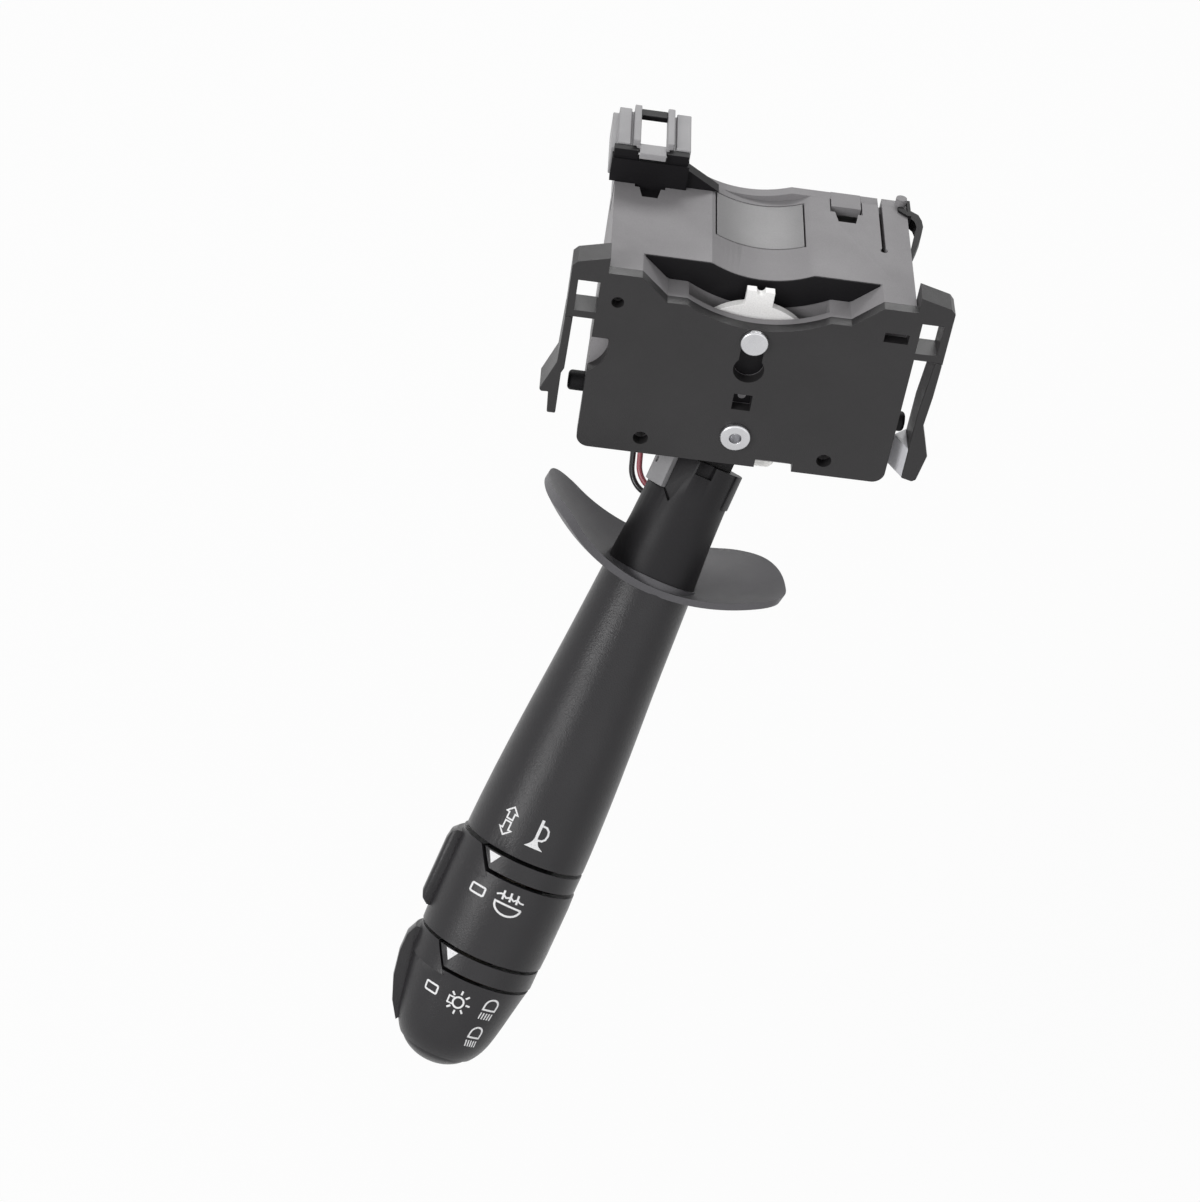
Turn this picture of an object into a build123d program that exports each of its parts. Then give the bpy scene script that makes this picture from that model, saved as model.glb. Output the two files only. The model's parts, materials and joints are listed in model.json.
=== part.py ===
"""Combination stalk switch for a steering column.

A box behind a flat front plate carries one stalk, which turns up and down for the
direction lamps, pulls towards the driver for the flash, and carries two turning
rings for the lamps and a horn button in its tip.

Millimetres. The origin is where the turning axis of the stalk meets the rear seat of
the box. +X is the driver's right, +Z goes up towards the steering column, and the
driver looks along +Y, so the front plate lies at the lowest Y. Depths are given as
heights above the rear seat, which grow towards the driver.
"""
from build123d import *
from math import cos, radians, sin, sqrt
import os

os.makedirs("parts", exist_ok=True)

# Overall sizes of the box
front_height = 40.0
plate_thickness = 2.5
cover_thickness = 2.5
body_half_width = 29.4
body_top = 33.7
body_bottom = -7.0
wall = 2.0
panel_gap = 0.15

# Steering column that the top of the box curves around
column_centre_z = 53.0
scoop_radius = 21.7
plate_arc_radius = 27.8

# Front plate outline and its holes
plate_half_width = body_half_width + 1.5
plate_corner_radius = 2.5
pocket_half_width = 23.1
ledge_half_width = 17.7
ledge_z = 28.9
side_notch_low = 11.0
side_notch_high = 19.0
side_notch_x = -(plate_half_width - 3.2)
side_notch_bend = (-(plate_half_width - 2.8), 13.9)
bottom_notch_left = 4.9
bottom_notch_right = 12.4
bottom_notch_height = 2.0
locating_hole_radius = 1.5
locating_hole_x = 18.35
locating_hole_z = -3.35
locating_hole_depth = 6.0
small_hole_radius = 1.2
small_hole_x = -(body_half_width - 2.4)
small_hole_z = 27.5
small_hole_depth = 4.0
slot_window_width = 4.7
slot_window_height = 2.1
slot_window_x = body_half_width - 2.8
slot_window_z = 27.4
key_square = 3.7
key_square_z = 8.2
key_square_depth = 1.5
key_peg_radius = 0.8

# Pocket behind the plate, with the slot that holds the cancelling cam
pocket_depth = 6.0
lip_thickness = 1.6
pocket_back_wall = 1.5
cam_slot_half_width = 15.3
cam_slot_low = 1.0
cam_slot_high = 26.0

# Cancelling cam
cam_radius = 13.0
cam_centre_z = 15.0
cam_thickness = 1.8
cam_running_gap = 0.5
finger_width = 5.4
finger_top = 31.0
finger_notch_radius = 0.8
cam_pin_z = 22.6
cam_pin_shank_radius = 2.2
cam_pin_tail_radius = 1.5
cam_pin_head_radius = 2.68
head_thickness = 1.0
key_hole_radius = 3.0
key_hole_z = 16.0
cam_peg_radius = 1.2
cam_peg_z = 6.0
running_gap = 0.05
cancel_wire_radius = 0.45
cancel_leg_length = 9.0
cancel_anchor_z = 14.5

# Pivot of the stalk's turning motion
rivet_head_radius = 3.05
rivet_shank_radius = 1.7
rivet_bore_radius = 1.2
rivet_bore_depth = 3.0
rivet_flare_radius = 2.3
rivet_flare_thickness = 0.7
trunnion_radius = 3.0
trunnion_boss_radius = 5.0
trunnion_length = 4.5

# Yoke that turns on the pivot and carries the cross pin
yoke_front_height = front_height - 10.3
yoke_front_wall = 2.2
yoke_back_height = 8.0
yoke_back_wall = 3.0
yoke_half_width = 12.0
yoke_inner_half_width = 7.2
yoke_up = 9.0
yoke_top_wall = 7.0
yoke_down = 5.0
yoke_front_down = 3.2
cross_pin_radius = 2.0
pin_fit = 0.02

# Detent of the turning motion
plunger_radius = 2.0
plunger_height = front_height / 2
plunger_tip_radius = 21.0
plunger_length = 8.0
plunger_bore_depth = 4.6
plunger_skirt_bore = 1.4
detent_travel_gap = 0.4
detent_notch_radius = 2.6
detent_notch_depth = 1.0
detent_angle = 10.5
detent_track_half_depth = 4.0

# Stalk axis: leans to the left in the plane of the plate and towards the driver
stalk_lean_left = 19.7
stalk_lean_front = 30.0
lever_pivot_x = 1.25
lever_pivot_height = front_height / 2

# Stalk lengths, all from the cross pin
stem_tail = 6.0
stem_half_width = 5.5
stem_half_depth = 3.2
neck_start = 18.3
neck_shoulder = 26.3
neck_waist = 34.3
neck_end = 44.4
neck_bore_start = 22.0
neck_bore_radius = 5.0
clip_ring_radius = 9.25
rib_radius = 8.85
rib_from = 45.0
rib_to = 100.0
neck_waist_radius = 8.55
neck_mid_radius = 8.85
neck_end_radius = 9.6
shell_wall = 2.0
groove_width = 0.8
fog_groove_a = 107.2
fog_groove_b = fog_groove_a + 4.5
light_groove_a = fog_groove_b + 17.8
light_groove_b = light_groove_a + 4.8
button_groove = light_groove_b + 19.0
tip_length = button_groove + 3.5

# Stalk radii
shell_shares = [(0.073, 9.87), (0.298, 10.7), (0.57, 11.9), (0.844, 12.87)]
shell_radii = [(neck_end + share * (fog_groove_a - neck_end), radius) for share, radius in shell_shares]
shell_end_radius = 13.15
band_radius = 13.2
ring_radius = 13.55
light_band_radius = 13.3
tip_points = [(light_groove_b + 5.3, 12.2), (light_groove_b + 11.5, 11.1), (light_groove_b + 15.2, 10.2)]
tip_start_radius = 13.1
button_radius = 7.5
button_gap = 0.35
spigot_radius = 7.6
tab_inner_radius = 9.0
ring_inner_radius = 11.4
hub_thickness = 3.0
fog_hub_start = fog_groove_b + 7.3
light_hub_start = light_groove_b + 5.7

# Finger lugs of the two rings, measured as angles round the stalk from its front
tab_left = -135.0
slant_start = -54.7
slant_end = -39.5
lug_angle = -113.0
lug_half_angle = 20.0
fog_lug_start = fog_groove_a + 1.7
fog_lug_end = fog_groove_b + 14.3
lug_radius = 15.9
light_lug_points = [(light_groove_b - 0.8, 15.2), (light_groove_b + 3.2, 15.2),
                    (light_groove_b + 8.7, 14.2), (light_groove_b + 13.7, 12.3)]
fog_turn = 30.0
light_turn = 63.0

# Inner tube that carries the rings, and the horn parts inside it
tube_start = 36.0
tube_end = light_groove_b + 11.2
tube_radius = 3.5
tube_bore_radius = 2.1
button_skirt_start = button_groove - 4.9
button_stem_start = light_groove_b - 0.3
button_stem_radius = 2.05
button_recess_radius = 3.9
button_recess_end = button_groove - 1.9
horn_contact_start = light_groove_b - 8.3
horn_contact_length = 5.5

# Finger shield, a dish about the turning axis
shield_radius = 40.6
shield_thickness = 1.5
shield_centre_height = front_height - 10.0
shield_front = front_height + 11.7
shield_back = front_height - 13.7
shield_mid_angle = 19.7
shield_end = [(16.5, shield_back), (21.0, shield_back + 0.8), (24.2, shield_back + 3.0),
              (26.2, shield_back + 6.6), (27.0, shield_back + 11.5), (26.6, shield_front - 8.4),
              (25.4, shield_front - 3.6), (24.0, shield_front - 1.2), (21.0, shield_front)]

# Snap clips at the two sides
clip_back_height = front_height - 5.5
clip_outer = body_half_width + 7.1
clip_top_inner = 37.0
clip_top_outer = 35.4
clip_window = (body_half_width + 1.4, 24.6, 31.4)
arm_thickness = 1.5
arm_back_height = front_height - 7.0
shelf_low = 23.1
hinge_z = 22.2
knuckle_gap = 0.1
foot_inner = clip_outer - 2.25
pad_depth = 2.7
pad_low = -5.0
pad_high = 2.0

# Bosses on the sides of the box and the pegs pressed against them
boss_thickness = 1.3
boss_low = 2.8
boss_high = 19.2
boss_back_height = front_height - 11.0
side_peg_radius = 2.0
side_peg_z = 5.0
side_peg_height = front_height - 5.0
side_peg_lengths = ((-1, 3.3), (1, 2.3))

# Connector
connector_left = -(body_half_width + 1.6)
connector_right = connector_left + 15.7
connector_top = 41.0
connector_floor = 26.0
connector_wall = 1.5
connector_front = 6.5
connector_base_thickness = 2.5
connector_overhang = 10.0
window_left = connector_left + 5.6
window_right = connector_left + 10.9
rib_height = 1.0
rib_width = 1.4
lock_bar_length = 2.6
lock_bar_depth = 0.9
pin_thickness = 0.64
pin_rows = (28.9, 31.0)
pins_in_row = 5
pin_pitch = 2.1
first_pin_x = connector_left + 4.4
pin_tip = -2.5
pin_root = 9.0
pin_bend_step = 0.6
pin_foot_z = 23.5

# Small pieces
board_thickness = 1.5
screw_shank_radius = 1.1
screw_head_radius = 2.1
screw_length = 11.0
wire_radius = 0.6


def facing(height):
    """Plane that faces the driver at a height above the rear seat."""
    return Plane.XZ.offset(height)


def circle_z(x, centre_z, radius):
    """Lower edge of a circle about the column, at a distance x from the middle."""
    return centre_z - sqrt(radius ** 2 - x ** 2)


def block(x_range, height_range, z_range, mode=Mode.ADD):
    """Add or cut a straight block, from its two faces in each direction."""
    with BuildSketch(facing(height_range[0])) as face:
        with Locations(((x_range[0] + x_range[1]) / 2, (z_range[0] + z_range[1]) / 2)):
            Rectangle(x_range[1] - x_range[0], z_range[1] - z_range[0])
    extrude(face.sketch, amount=height_range[1] - height_range[0], mode=mode)


def rod(plane, radius, length, mode=Mode.ADD):
    """Add or cut a round rod that starts at a plane's origin."""
    with BuildSketch(plane) as face:
        Circle(radius)
    extrude(face.sketch, amount=length, mode=mode)


def pin_towards_driver(x, z, radius, height_range, mode=Mode.ADD):
    """Add or cut a round pin along the turning axis' direction."""
    plane = Plane(origin=(x, -height_range[0], z), x_dir=(1, 0, 0), z_dir=(0, -1, 0))
    rod(plane, radius, height_range[1] - height_range[0], mode)


def polygon(plane, points):
    """Closed straight-sided outline on a plane."""
    with BuildSketch(plane) as face:
        with BuildLine():
            Polyline(*points, close=True)
        make_face()
    return face.sketch


def coil(start, direction, radius, wire, pitch, height):
    """Path and starting face of a helical spring."""
    with BuildLine() as path:
        Helix(pitch=pitch, height=height, radius=radius, center=start, direction=direction)
    with BuildSketch(Plane(origin=path.line @ 0, z_dir=path.line % 0)) as section:
        Circle(wire)
    return path.line, section.sketch


# Frame of the stalk: local z runs down the stalk, x is the cross pin, y faces the driver
lean_left = radians(stalk_lean_left)
lean_front = radians(stalk_lean_front)
stalk_dir = Vector(-sin(lean_left) * cos(lean_front), -sin(lean_front), -cos(lean_left) * cos(lean_front))
pin_dir = Vector(cos(lean_left), 0, -sin(lean_left))
lever = Plane(origin=(lever_pivot_x, -lever_pivot_height, 0), x_dir=pin_dir, z_dir=stalk_dir)
stalk_axis = Axis(lever.origin, stalk_dir)
down_dir = Vector(-sin(lean_left), 0, -cos(lean_left))


def across(distance):
    """Plane square to the stalk at a distance from the cross pin."""
    return lever.offset(distance)


def radial(angle):
    """Direction out of the stalk at an angle from its front towards its right."""
    turn = radians(angle)
    return lever.y_dir * cos(turn) + lever.x_dir * sin(turn)


def along(angle):
    """Plane through the stalk's axis: local x points outwards, y down the stalk."""
    outward = radial(angle)
    return Plane(origin=lever.origin, x_dir=outward, z_dir=outward.cross(stalk_dir))


def tangent(angle, radius):
    """Plane on the stalk's surface: local x goes to the right, y up the stalk."""
    outward = radial(angle)
    return Plane(origin=lever.origin + outward * radius, x_dir=stalk_dir.cross(outward) * -1, z_dir=outward)


def sector(points, angle_from, angle_to, mode=Mode.ADD):
    """Turn an outline of (radius, distance) points round the stalk between two angles."""
    face = polygon(along(angle_to), points)
    revolve(face, axis=stalk_axis, revolution_arc=angle_to - angle_from, mode=mode)


def ring_piece(points, mode=Mode.ADD):
    """Turn an outline of (radius, distance) points all the way round the stalk."""
    face = polygon(along(0), points)
    revolve(face, axis=stalk_axis, mode=mode)


# Outline shared by the top of the front plate and the pocket behind it
def pocket_points(top):
    """Points of the pocket outline from its upper left corner to its upper right one."""
    arc_half_width = sqrt(plate_arc_radius ** 2 - (column_centre_z - ledge_z) ** 2)
    return [(-pocket_half_width, top), (-ledge_half_width, ledge_z), (-arc_half_width, ledge_z),
            (arc_half_width, ledge_z), (ledge_half_width, ledge_z), (pocket_half_width, top)]


def pocket_outline(plane, top):
    """Area above the plate's upper edge, cut from the plate and from the housing."""
    left_top, left_ledge, left_arc, right_arc, right_ledge, right_top = pocket_points(body_top)
    arc_low = (0, circle_z(0, column_centre_z, plate_arc_radius))
    with BuildSketch(plane) as face:
        with BuildLine():
            Polyline((left_top[0], top), left_top, left_ledge, left_arc)
            ThreePointArc(left_arc, arc_low, right_arc)
            Polyline(right_arc, right_ledge, right_top, (right_top[0], top), (left_top[0], top))
        make_face()
    return face.sketch


plate_back = front_height - plate_thickness
pocket_back = plate_back - pocket_depth
cavity_front = pocket_back - pocket_back_wall
cut_top = body_top + 10
through = 5.0


def clip_bracket(side):
    """Fixed upper part of a snap clip: top block, outer bar and the shelf below its window."""
    inner_x = body_half_width + panel_gap
    inner_bar = clip_outer - arm_thickness
    window_x, window_low, window_high = clip_window
    shape = [(inner_x, shelf_low), (inner_bar, shelf_low), (inner_bar, hinge_z), (clip_outer, hinge_z),
             (clip_outer, clip_top_outer - 1.0), (clip_outer - 0.9, clip_top_outer),
             (inner_x, clip_top_inner)]
    window = [(window_x, window_low), (inner_bar, window_low), (inner_bar, window_high),
              (window_x, window_high)]
    bracket_depth = front_height - clip_back_height
    extrude(polygon(facing(clip_back_height), [(side * x, z) for x, z in shape]), amount=bracket_depth)
    extrude(polygon(facing(clip_back_height), [(side * x, z) for x, z in window]), amount=bracket_depth,
            mode=Mode.SUBTRACT)
    pin_towards_driver(side * (clip_outer - arm_thickness / 2), hinge_z, arm_thickness / 2 + knuckle_gap,
                       (clip_back_height, front_height), Mode.SUBTRACT)


# Front plate with the fixed parts of its two snap clips
with BuildPart() as front_plate:
    block((-plate_half_width, plate_half_width), (plate_back, front_height), (body_bottom, shelf_low))
    upper_half_width = body_half_width + panel_gap + 0.3
    block((-upper_half_width, upper_half_width), (plate_back, front_height), (shelf_low, body_top))
    low_corners = front_plate.edges().filter_by(Axis.Y).group_by(Axis.Z)[0]
    fillet(low_corners, radius=plate_corner_radius)
    extrude(pocket_outline(facing(plate_back), cut_top), amount=plate_thickness, mode=Mode.SUBTRACT)
    with BuildSketch(facing(plate_back)) as side_notch:
        with BuildLine():
            edge_x = -plate_half_width
            ThreePointArc((edge_x, side_notch_low), side_notch_bend, (side_notch_x, side_notch_high))
            Polyline((side_notch_x, side_notch_high), (edge_x - 1, side_notch_high),
                     (edge_x - 1, side_notch_low), (edge_x, side_notch_low))
        make_face()
    extrude(side_notch.sketch, amount=plate_thickness, mode=Mode.SUBTRACT)
    for side in (-1, 1):
        clip_bracket(side)
    block((bottom_notch_left, bottom_notch_right), (plate_back, front_height),
          (body_bottom, body_bottom + bottom_notch_height), Mode.SUBTRACT)
    for side in (-1, 1):
        pin_towards_driver(side * locating_hole_x, locating_hole_z, locating_hole_radius,
                           (plate_back, front_height), Mode.SUBTRACT)
    pin_towards_driver(small_hole_x, small_hole_z, small_hole_radius,
                       (plate_back, front_height), Mode.SUBTRACT)
    block((slot_window_x - slot_window_width / 2, slot_window_x + slot_window_width / 2),
          (plate_back, front_height),
          (slot_window_z - slot_window_height / 2, slot_window_z + slot_window_height / 2), Mode.SUBTRACT)
    block((-key_square / 2, key_square / 2), (plate_back, front_height),
          (key_square_z - key_square / 2, key_square_z + key_square / 2), Mode.SUBTRACT)
    pin_towards_driver(0, 0, rivet_shank_radius, (plate_back, front_height), Mode.SUBTRACT)
    pin_towards_driver(0, key_hole_z, key_hole_radius, (plate_back, front_height), Mode.SUBTRACT)
    slot_radius = cam_pin_shank_radius + running_gap
    block((-slot_radius, slot_radius), (plate_back, front_height), (key_hole_z, cam_pin_z), Mode.SUBTRACT)
    pin_towards_driver(0, cam_pin_z, slot_radius, (plate_back, front_height), Mode.SUBTRACT)
front_plate.part.label = "front_plate"
export_step(front_plate.part, "parts/front_plate.step")


def body_section(height, inset):
    """Cross-section of the box with its scooped top, drawn smaller by an inset."""
    middle_z = (body_top + body_bottom) / 2
    with BuildSketch(facing(height)) as face:
        with Locations((0, middle_z)):
            Rectangle(2 * (body_half_width - inset), body_top - body_bottom - 2 * inset)
        with Locations((0, column_centre_z)):
            Circle(scoop_radius + inset, mode=Mode.SUBTRACT)
    return face.sketch


# Housing: the box with its pocket, cam slot, cavity and side bosses
connector_cut = (connector_left - 1, connector_right + panel_gap)
hook_low_x = 13.8
hook_high_x = 20.3
hook_front = 5.4
hook_hole_front = 7.3
base_hook_low_x = connector_left + 5.6
base_hook_high_x = connector_left + 11.7
base_hook_hole_front = 7.6
catch_length = 3.5
catch_inset = 0.9
catch_narrowing = 0.6
catch_depth = 1.0
hook_gap = 0.25
slit_left = 23.6
slit_right = 24.4
slit_end = 19.4
lid_left = -9.2
lid_right = 8.7
lid_low = 4.5
lid_high = 20.7
lid_thickness = 1.0
lid_ledge = 0.8
lid_gap = 0.3
post_radius = 3.6
post_sink = 0.4
screw_x = body_half_width - wall + post_sink - post_radius
screw_places = [(-screw_x, -2.6), (screw_x, -2.6), (screw_x, 22.0), (-screw_x, 12.0)]
opening_half_width = 16.2
opening_back = 8.0
opening_front = front_height - 4.0


def catch_outline(low_x, high_x, gap):
    """Outline of a snap catch seen from above, narrower towards the driver, drawn smaller by a gap."""
    low = low_x + catch_inset + gap
    high = high_x - catch_inset - gap
    return [(low, 0), (high, 0), (high - catch_narrowing, catch_length - gap),
            (low + catch_narrowing, catch_length - gap)]


def catch_solid(low_x, high_x, start, gap, low_z, high_z, mode=Mode.ADD):
    """Add or cut a snap catch that starts at a height above the rear seat."""
    outline = [(x, -start - reach) for x, reach in catch_outline(low_x, high_x, gap)]
    catch_plane = Plane(origin=(0, 0, low_z), z_dir=(0, 0, 1))
    extrude(polygon(catch_plane, outline), amount=high_z - low_z, mode=mode)


with BuildPart() as housing:
    extrude(body_section(cover_thickness, 0), amount=plate_back - cover_thickness)
    for side in (-1, 1):
        block(sorted((side * body_half_width, side * (body_half_width + boss_thickness))),
              (boss_back_height, plate_back), (boss_low, boss_high))
    extrude(pocket_outline(facing(pocket_back), cut_top), amount=pocket_depth, mode=Mode.SUBTRACT)
    slot_front = plate_back - lip_thickness
    block((-cam_slot_half_width, cam_slot_half_width), (pocket_back, slot_front),
          (cam_slot_low, cam_slot_high), Mode.SUBTRACT)
    block((-cam_radius - 0.6, cam_radius + 0.6), (pocket_back, slot_front),
          (cam_slot_high, cut_top), Mode.SUBTRACT)
    extrude(body_section(cover_thickness, wall), amount=cavity_front - cover_thickness, mode=Mode.SUBTRACT)
    for x, z in screw_places:
        pin_towards_driver(x, z, post_radius, (cover_thickness, cavity_front))
    block((-opening_half_width, opening_half_width), (opening_back, opening_front),
          (body_bottom, body_bottom + 4.5), Mode.SUBTRACT)
    for side in (-1, 1):
        pin_towards_driver(side * locating_hole_x, locating_hole_z, locating_hole_radius,
                           (plate_back - locating_hole_depth, plate_back), Mode.SUBTRACT)
    pin_towards_driver(small_hole_x, small_hole_z, small_hole_radius,
                       (plate_back - small_hole_depth, plate_back), Mode.SUBTRACT)
    block((slot_window_x - slot_window_width / 2, slot_window_x + slot_window_width / 2),
          (plate_back - 3, plate_back),
          (slot_window_z - slot_window_height / 2, slot_window_z + slot_window_height / 2), Mode.SUBTRACT)
    block((-key_square / 2, key_square / 2), (plate_back - key_square_depth, plate_back),
          (key_square_z - key_square / 2, key_square_z + key_square / 2), Mode.SUBTRACT)
    pin_towards_driver(0, key_square_z, key_peg_radius, (plate_back - key_square_depth, plate_back))
    pin_towards_driver(0, 0, rivet_shank_radius, (cavity_front, plate_back), Mode.SUBTRACT)
    pin_towards_driver(0, key_hole_z, key_hole_radius, (slot_front, plate_back), Mode.SUBTRACT)
    block((-slot_radius, slot_radius), (slot_front, plate_back), (key_hole_z, cam_pin_z), Mode.SUBTRACT)
    pin_towards_driver(0, cam_pin_z, slot_radius, (slot_front, plate_back), Mode.SUBTRACT)
    block(connector_cut, (cover_thickness, connector_front + panel_gap),
          (connector_floor - panel_gap, cut_top), Mode.SUBTRACT)
    block((lid_left, lid_right), (lid_low, lid_high), (body_top - 2 * wall, cut_top), Mode.SUBTRACT)
    for edge_low, edge_high in ((lid_low, lid_low + lid_ledge), (lid_high - lid_ledge, lid_high)):
        with BuildSketch(facing(edge_low)) as ledge:
            with Locations((0, column_centre_z)):
                Circle(scoop_radius + wall)
                Circle(scoop_radius + lid_thickness, mode=Mode.SUBTRACT)
            with Locations(((lid_left + lid_right) / 2, body_top - wall)):
                Rectangle(lid_right - lid_left, 4 * wall, mode=Mode.INTERSECT)
        extrude(amount=edge_high - edge_low)
    block((hook_low_x, hook_high_x), (cover_thickness, hook_hole_front),
          (body_top - wall, cut_top), Mode.SUBTRACT)
    catch_solid(hook_low_x, hook_high_x, hook_hole_front - 0.1, 0, body_top - wall, cut_top, Mode.SUBTRACT)
    block((base_hook_low_x, base_hook_high_x), (connector_front, base_hook_hole_front),
          (body_top - wall, cut_top), Mode.SUBTRACT)
    catch_solid(base_hook_low_x, base_hook_high_x, base_hook_hole_front - 0.1, 0, body_top - wall, cut_top,
                Mode.SUBTRACT)
    for x, z in screw_places:
        pin_towards_driver(x, z, screw_shank_radius + pin_fit,
                           (cover_thickness, cover_thickness + screw_length), Mode.SUBTRACT)
    block((slit_left, slit_right), (cover_thickness, slit_end), (body_top - wall, cut_top), Mode.SUBTRACT)
    slit_hole = Plane(origin=((slit_left + slit_right) / 2, -slit_end, body_top - wall), z_dir=(0, 0, 1))
    rod(slit_hole, 0.75, 2 * wall, Mode.SUBTRACT)
housing.part.label = "housing"
export_step(housing.part, "parts/housing.step")

# Black pegs on the side bosses, with rounded ends
with BuildPart() as side_pegs:
    for side, length in side_peg_lengths:
        peg_plane = Plane(origin=(side * (body_half_width + boss_thickness), -side_peg_height, side_peg_z),
                          x_dir=(0, 1, 0), z_dir=(side, 0, 0))
        rod(peg_plane, side_peg_radius, length)
    peg_ends = side_pegs.edges().sort_by(Axis.X)
    fillet([peg_ends[0], peg_ends[-1]], radius=0.8)
side_pegs.part.label = "side_pegs"
export_step(side_pegs.part, "parts/side_pegs.step")

# Rear cover with the raised web beside the connector, the snap tongues and the trunnion boss
web_centre_x = -2.5
web_radius = 24.0
web_low = 32.1
with BuildPart() as rear_cover:
    with BuildSketch(facing(0)) as cover_face:
        with Locations((0, (body_top + body_bottom) / 2)):
            Rectangle(2 * body_half_width, body_top - body_bottom)
        with Locations(((connector_right - 1) / 2, body_top)):
            Rectangle(-connector_right + 1, 5.0)
        with Locations((web_centre_x, web_low + web_radius)):
            Circle(web_radius, mode=Mode.SUBTRACT)
    extrude(amount=cover_thickness)
    block((connector_left - 1, connector_right + panel_gap), (0, cover_thickness),
          (connector_floor - panel_gap, cut_top), Mode.SUBTRACT)
    block((hook_low_x + hook_gap, hook_high_x - hook_gap), (0, hook_front),
          (body_top - wall + panel_gap, body_top + 0.1))
    pin_towards_driver(0, 0, trunnion_boss_radius, (cover_thickness, cover_thickness + trunnion_length))
    pin_towards_driver(0, 0, trunnion_radius + running_gap,
                       (cover_thickness, cover_thickness + trunnion_length), Mode.SUBTRACT)
    for x, z in screw_places:
        pin_towards_driver(x, z, screw_shank_radius + pin_fit, (0, cover_thickness), Mode.SUBTRACT)
        pin_towards_driver(x, z, screw_head_radius + pin_fit, (0, head_thickness + 0.2), Mode.SUBTRACT)
    block((slit_left, slit_right), (0, cover_thickness), (body_top - wall, cut_top), Mode.SUBTRACT)
    corner_post = Plane(origin=(body_half_width - 1.2, -cover_thickness / 2, body_top - 0.5), z_dir=(0, 0, 1))
    rod(corner_post, 1.1, 2.0)
rear_cover.part.label = "rear_cover"
export_step(rear_cover.part, "parts/rear_cover.step")

# Screws of the rear cover, with their heads below the rear seat
with BuildPart() as rear_cover_screws:
    for x, z in screw_places:
        pin_towards_driver(x, z, screw_head_radius, (0.2, 0.2 + head_thickness))
        pin_towards_driver(x, z, screw_shank_radius, (0.2 + head_thickness, screw_length))
        drive_plane = Plane(origin=(x, -0.2, z), x_dir=(1, 0, 0), z_dir=(0, -1, 0))
        with BuildSketch(drive_plane) as drive:
            Rectangle(2.4, 0.6)
            Rectangle(0.6, 2.4)
        extrude(drive.sketch, amount=0.6, mode=Mode.SUBTRACT)
rear_cover_screws.part.label = "rear_cover_screws"
export_step(rear_cover_screws.part, "parts/rear_cover_screws.step")

# Curved panel snapped into the scoop of the top
with BuildPart() as scoop_lid:
    with BuildSketch(facing(lid_low + lid_gap)):
        with Locations((0, column_centre_z)):
            Circle(scoop_radius + lid_thickness)
            Circle(scoop_radius, mode=Mode.SUBTRACT)
        with Locations(((lid_left + lid_right) / 2, body_top - wall)):
            Rectangle(lid_right - lid_left - 2 * lid_gap, 4 * wall, mode=Mode.INTERSECT)
    extrude(amount=lid_high - lid_low - 2 * lid_gap)
scoop_lid.part.label = "scoop_lid"
export_step(scoop_lid.part, "parts/scoop_lid.step")

# Connector base, the black block that the terminals pass through
base_back = connector_front - connector_base_thickness
base_top = connector_top - 2.2
sill_ear = 0.6
tail_end = -8.6
tail_top = 37.6
tail_front = 5.6
pin_columns = [first_pin_x + pin_pitch * i for i in range(pins_in_row)]
with BuildPart() as connector_base:
    block((-body_half_width, connector_right), (base_back, connector_front), (connector_floor, base_top))
    block((connector_left + 0.4, -body_half_width), (base_back, connector_front), (body_top, base_top))
    for wide, narrow in ((connector_left + 0.6, window_left), (connector_right - 0.3, window_right)):
        beside_sill = narrow + (sill_ear + panel_gap) * (1 if wide > narrow else -1)
        against_sill = narrow + panel_gap * (1 if wide > narrow else -1)
        block(sorted((wide, beside_sill)), (base_back, connector_front - 0.6),
              (base_top - 0.5, connector_top - 0.3))
        block(sorted((wide, against_sill)), (base_back + sill_ear + panel_gap, connector_front - 0.6),
              (base_top - 0.5, connector_top - 0.3))
    tail = [(connector_right, body_top), (tail_end, body_top), (connector_right, tail_top)]
    tail_back = cover_thickness + panel_gap
    extrude(polygon(facing(tail_back), tail), amount=tail_front - tail_back)
    block((base_hook_low_x + catch_inset + hook_gap, base_hook_high_x - catch_inset - hook_gap),
          (base_back, base_hook_hole_front), (body_top - wall + panel_gap, body_top - catch_depth))
    catch_solid(base_hook_low_x, base_hook_high_x, base_hook_hole_front - 0.1, hook_gap,
                body_top - wall + panel_gap, body_top - catch_depth)
    for z in pin_rows:
        for x in pin_columns:
            half = pin_thickness / 2 + pin_fit
            block((x - half, x + half), (base_back, connector_front), (z - half, z + half), Mode.SUBTRACT)
connector_base.part.label = "connector_base"
export_step(connector_base.part, "parts/connector_base.step")

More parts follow.
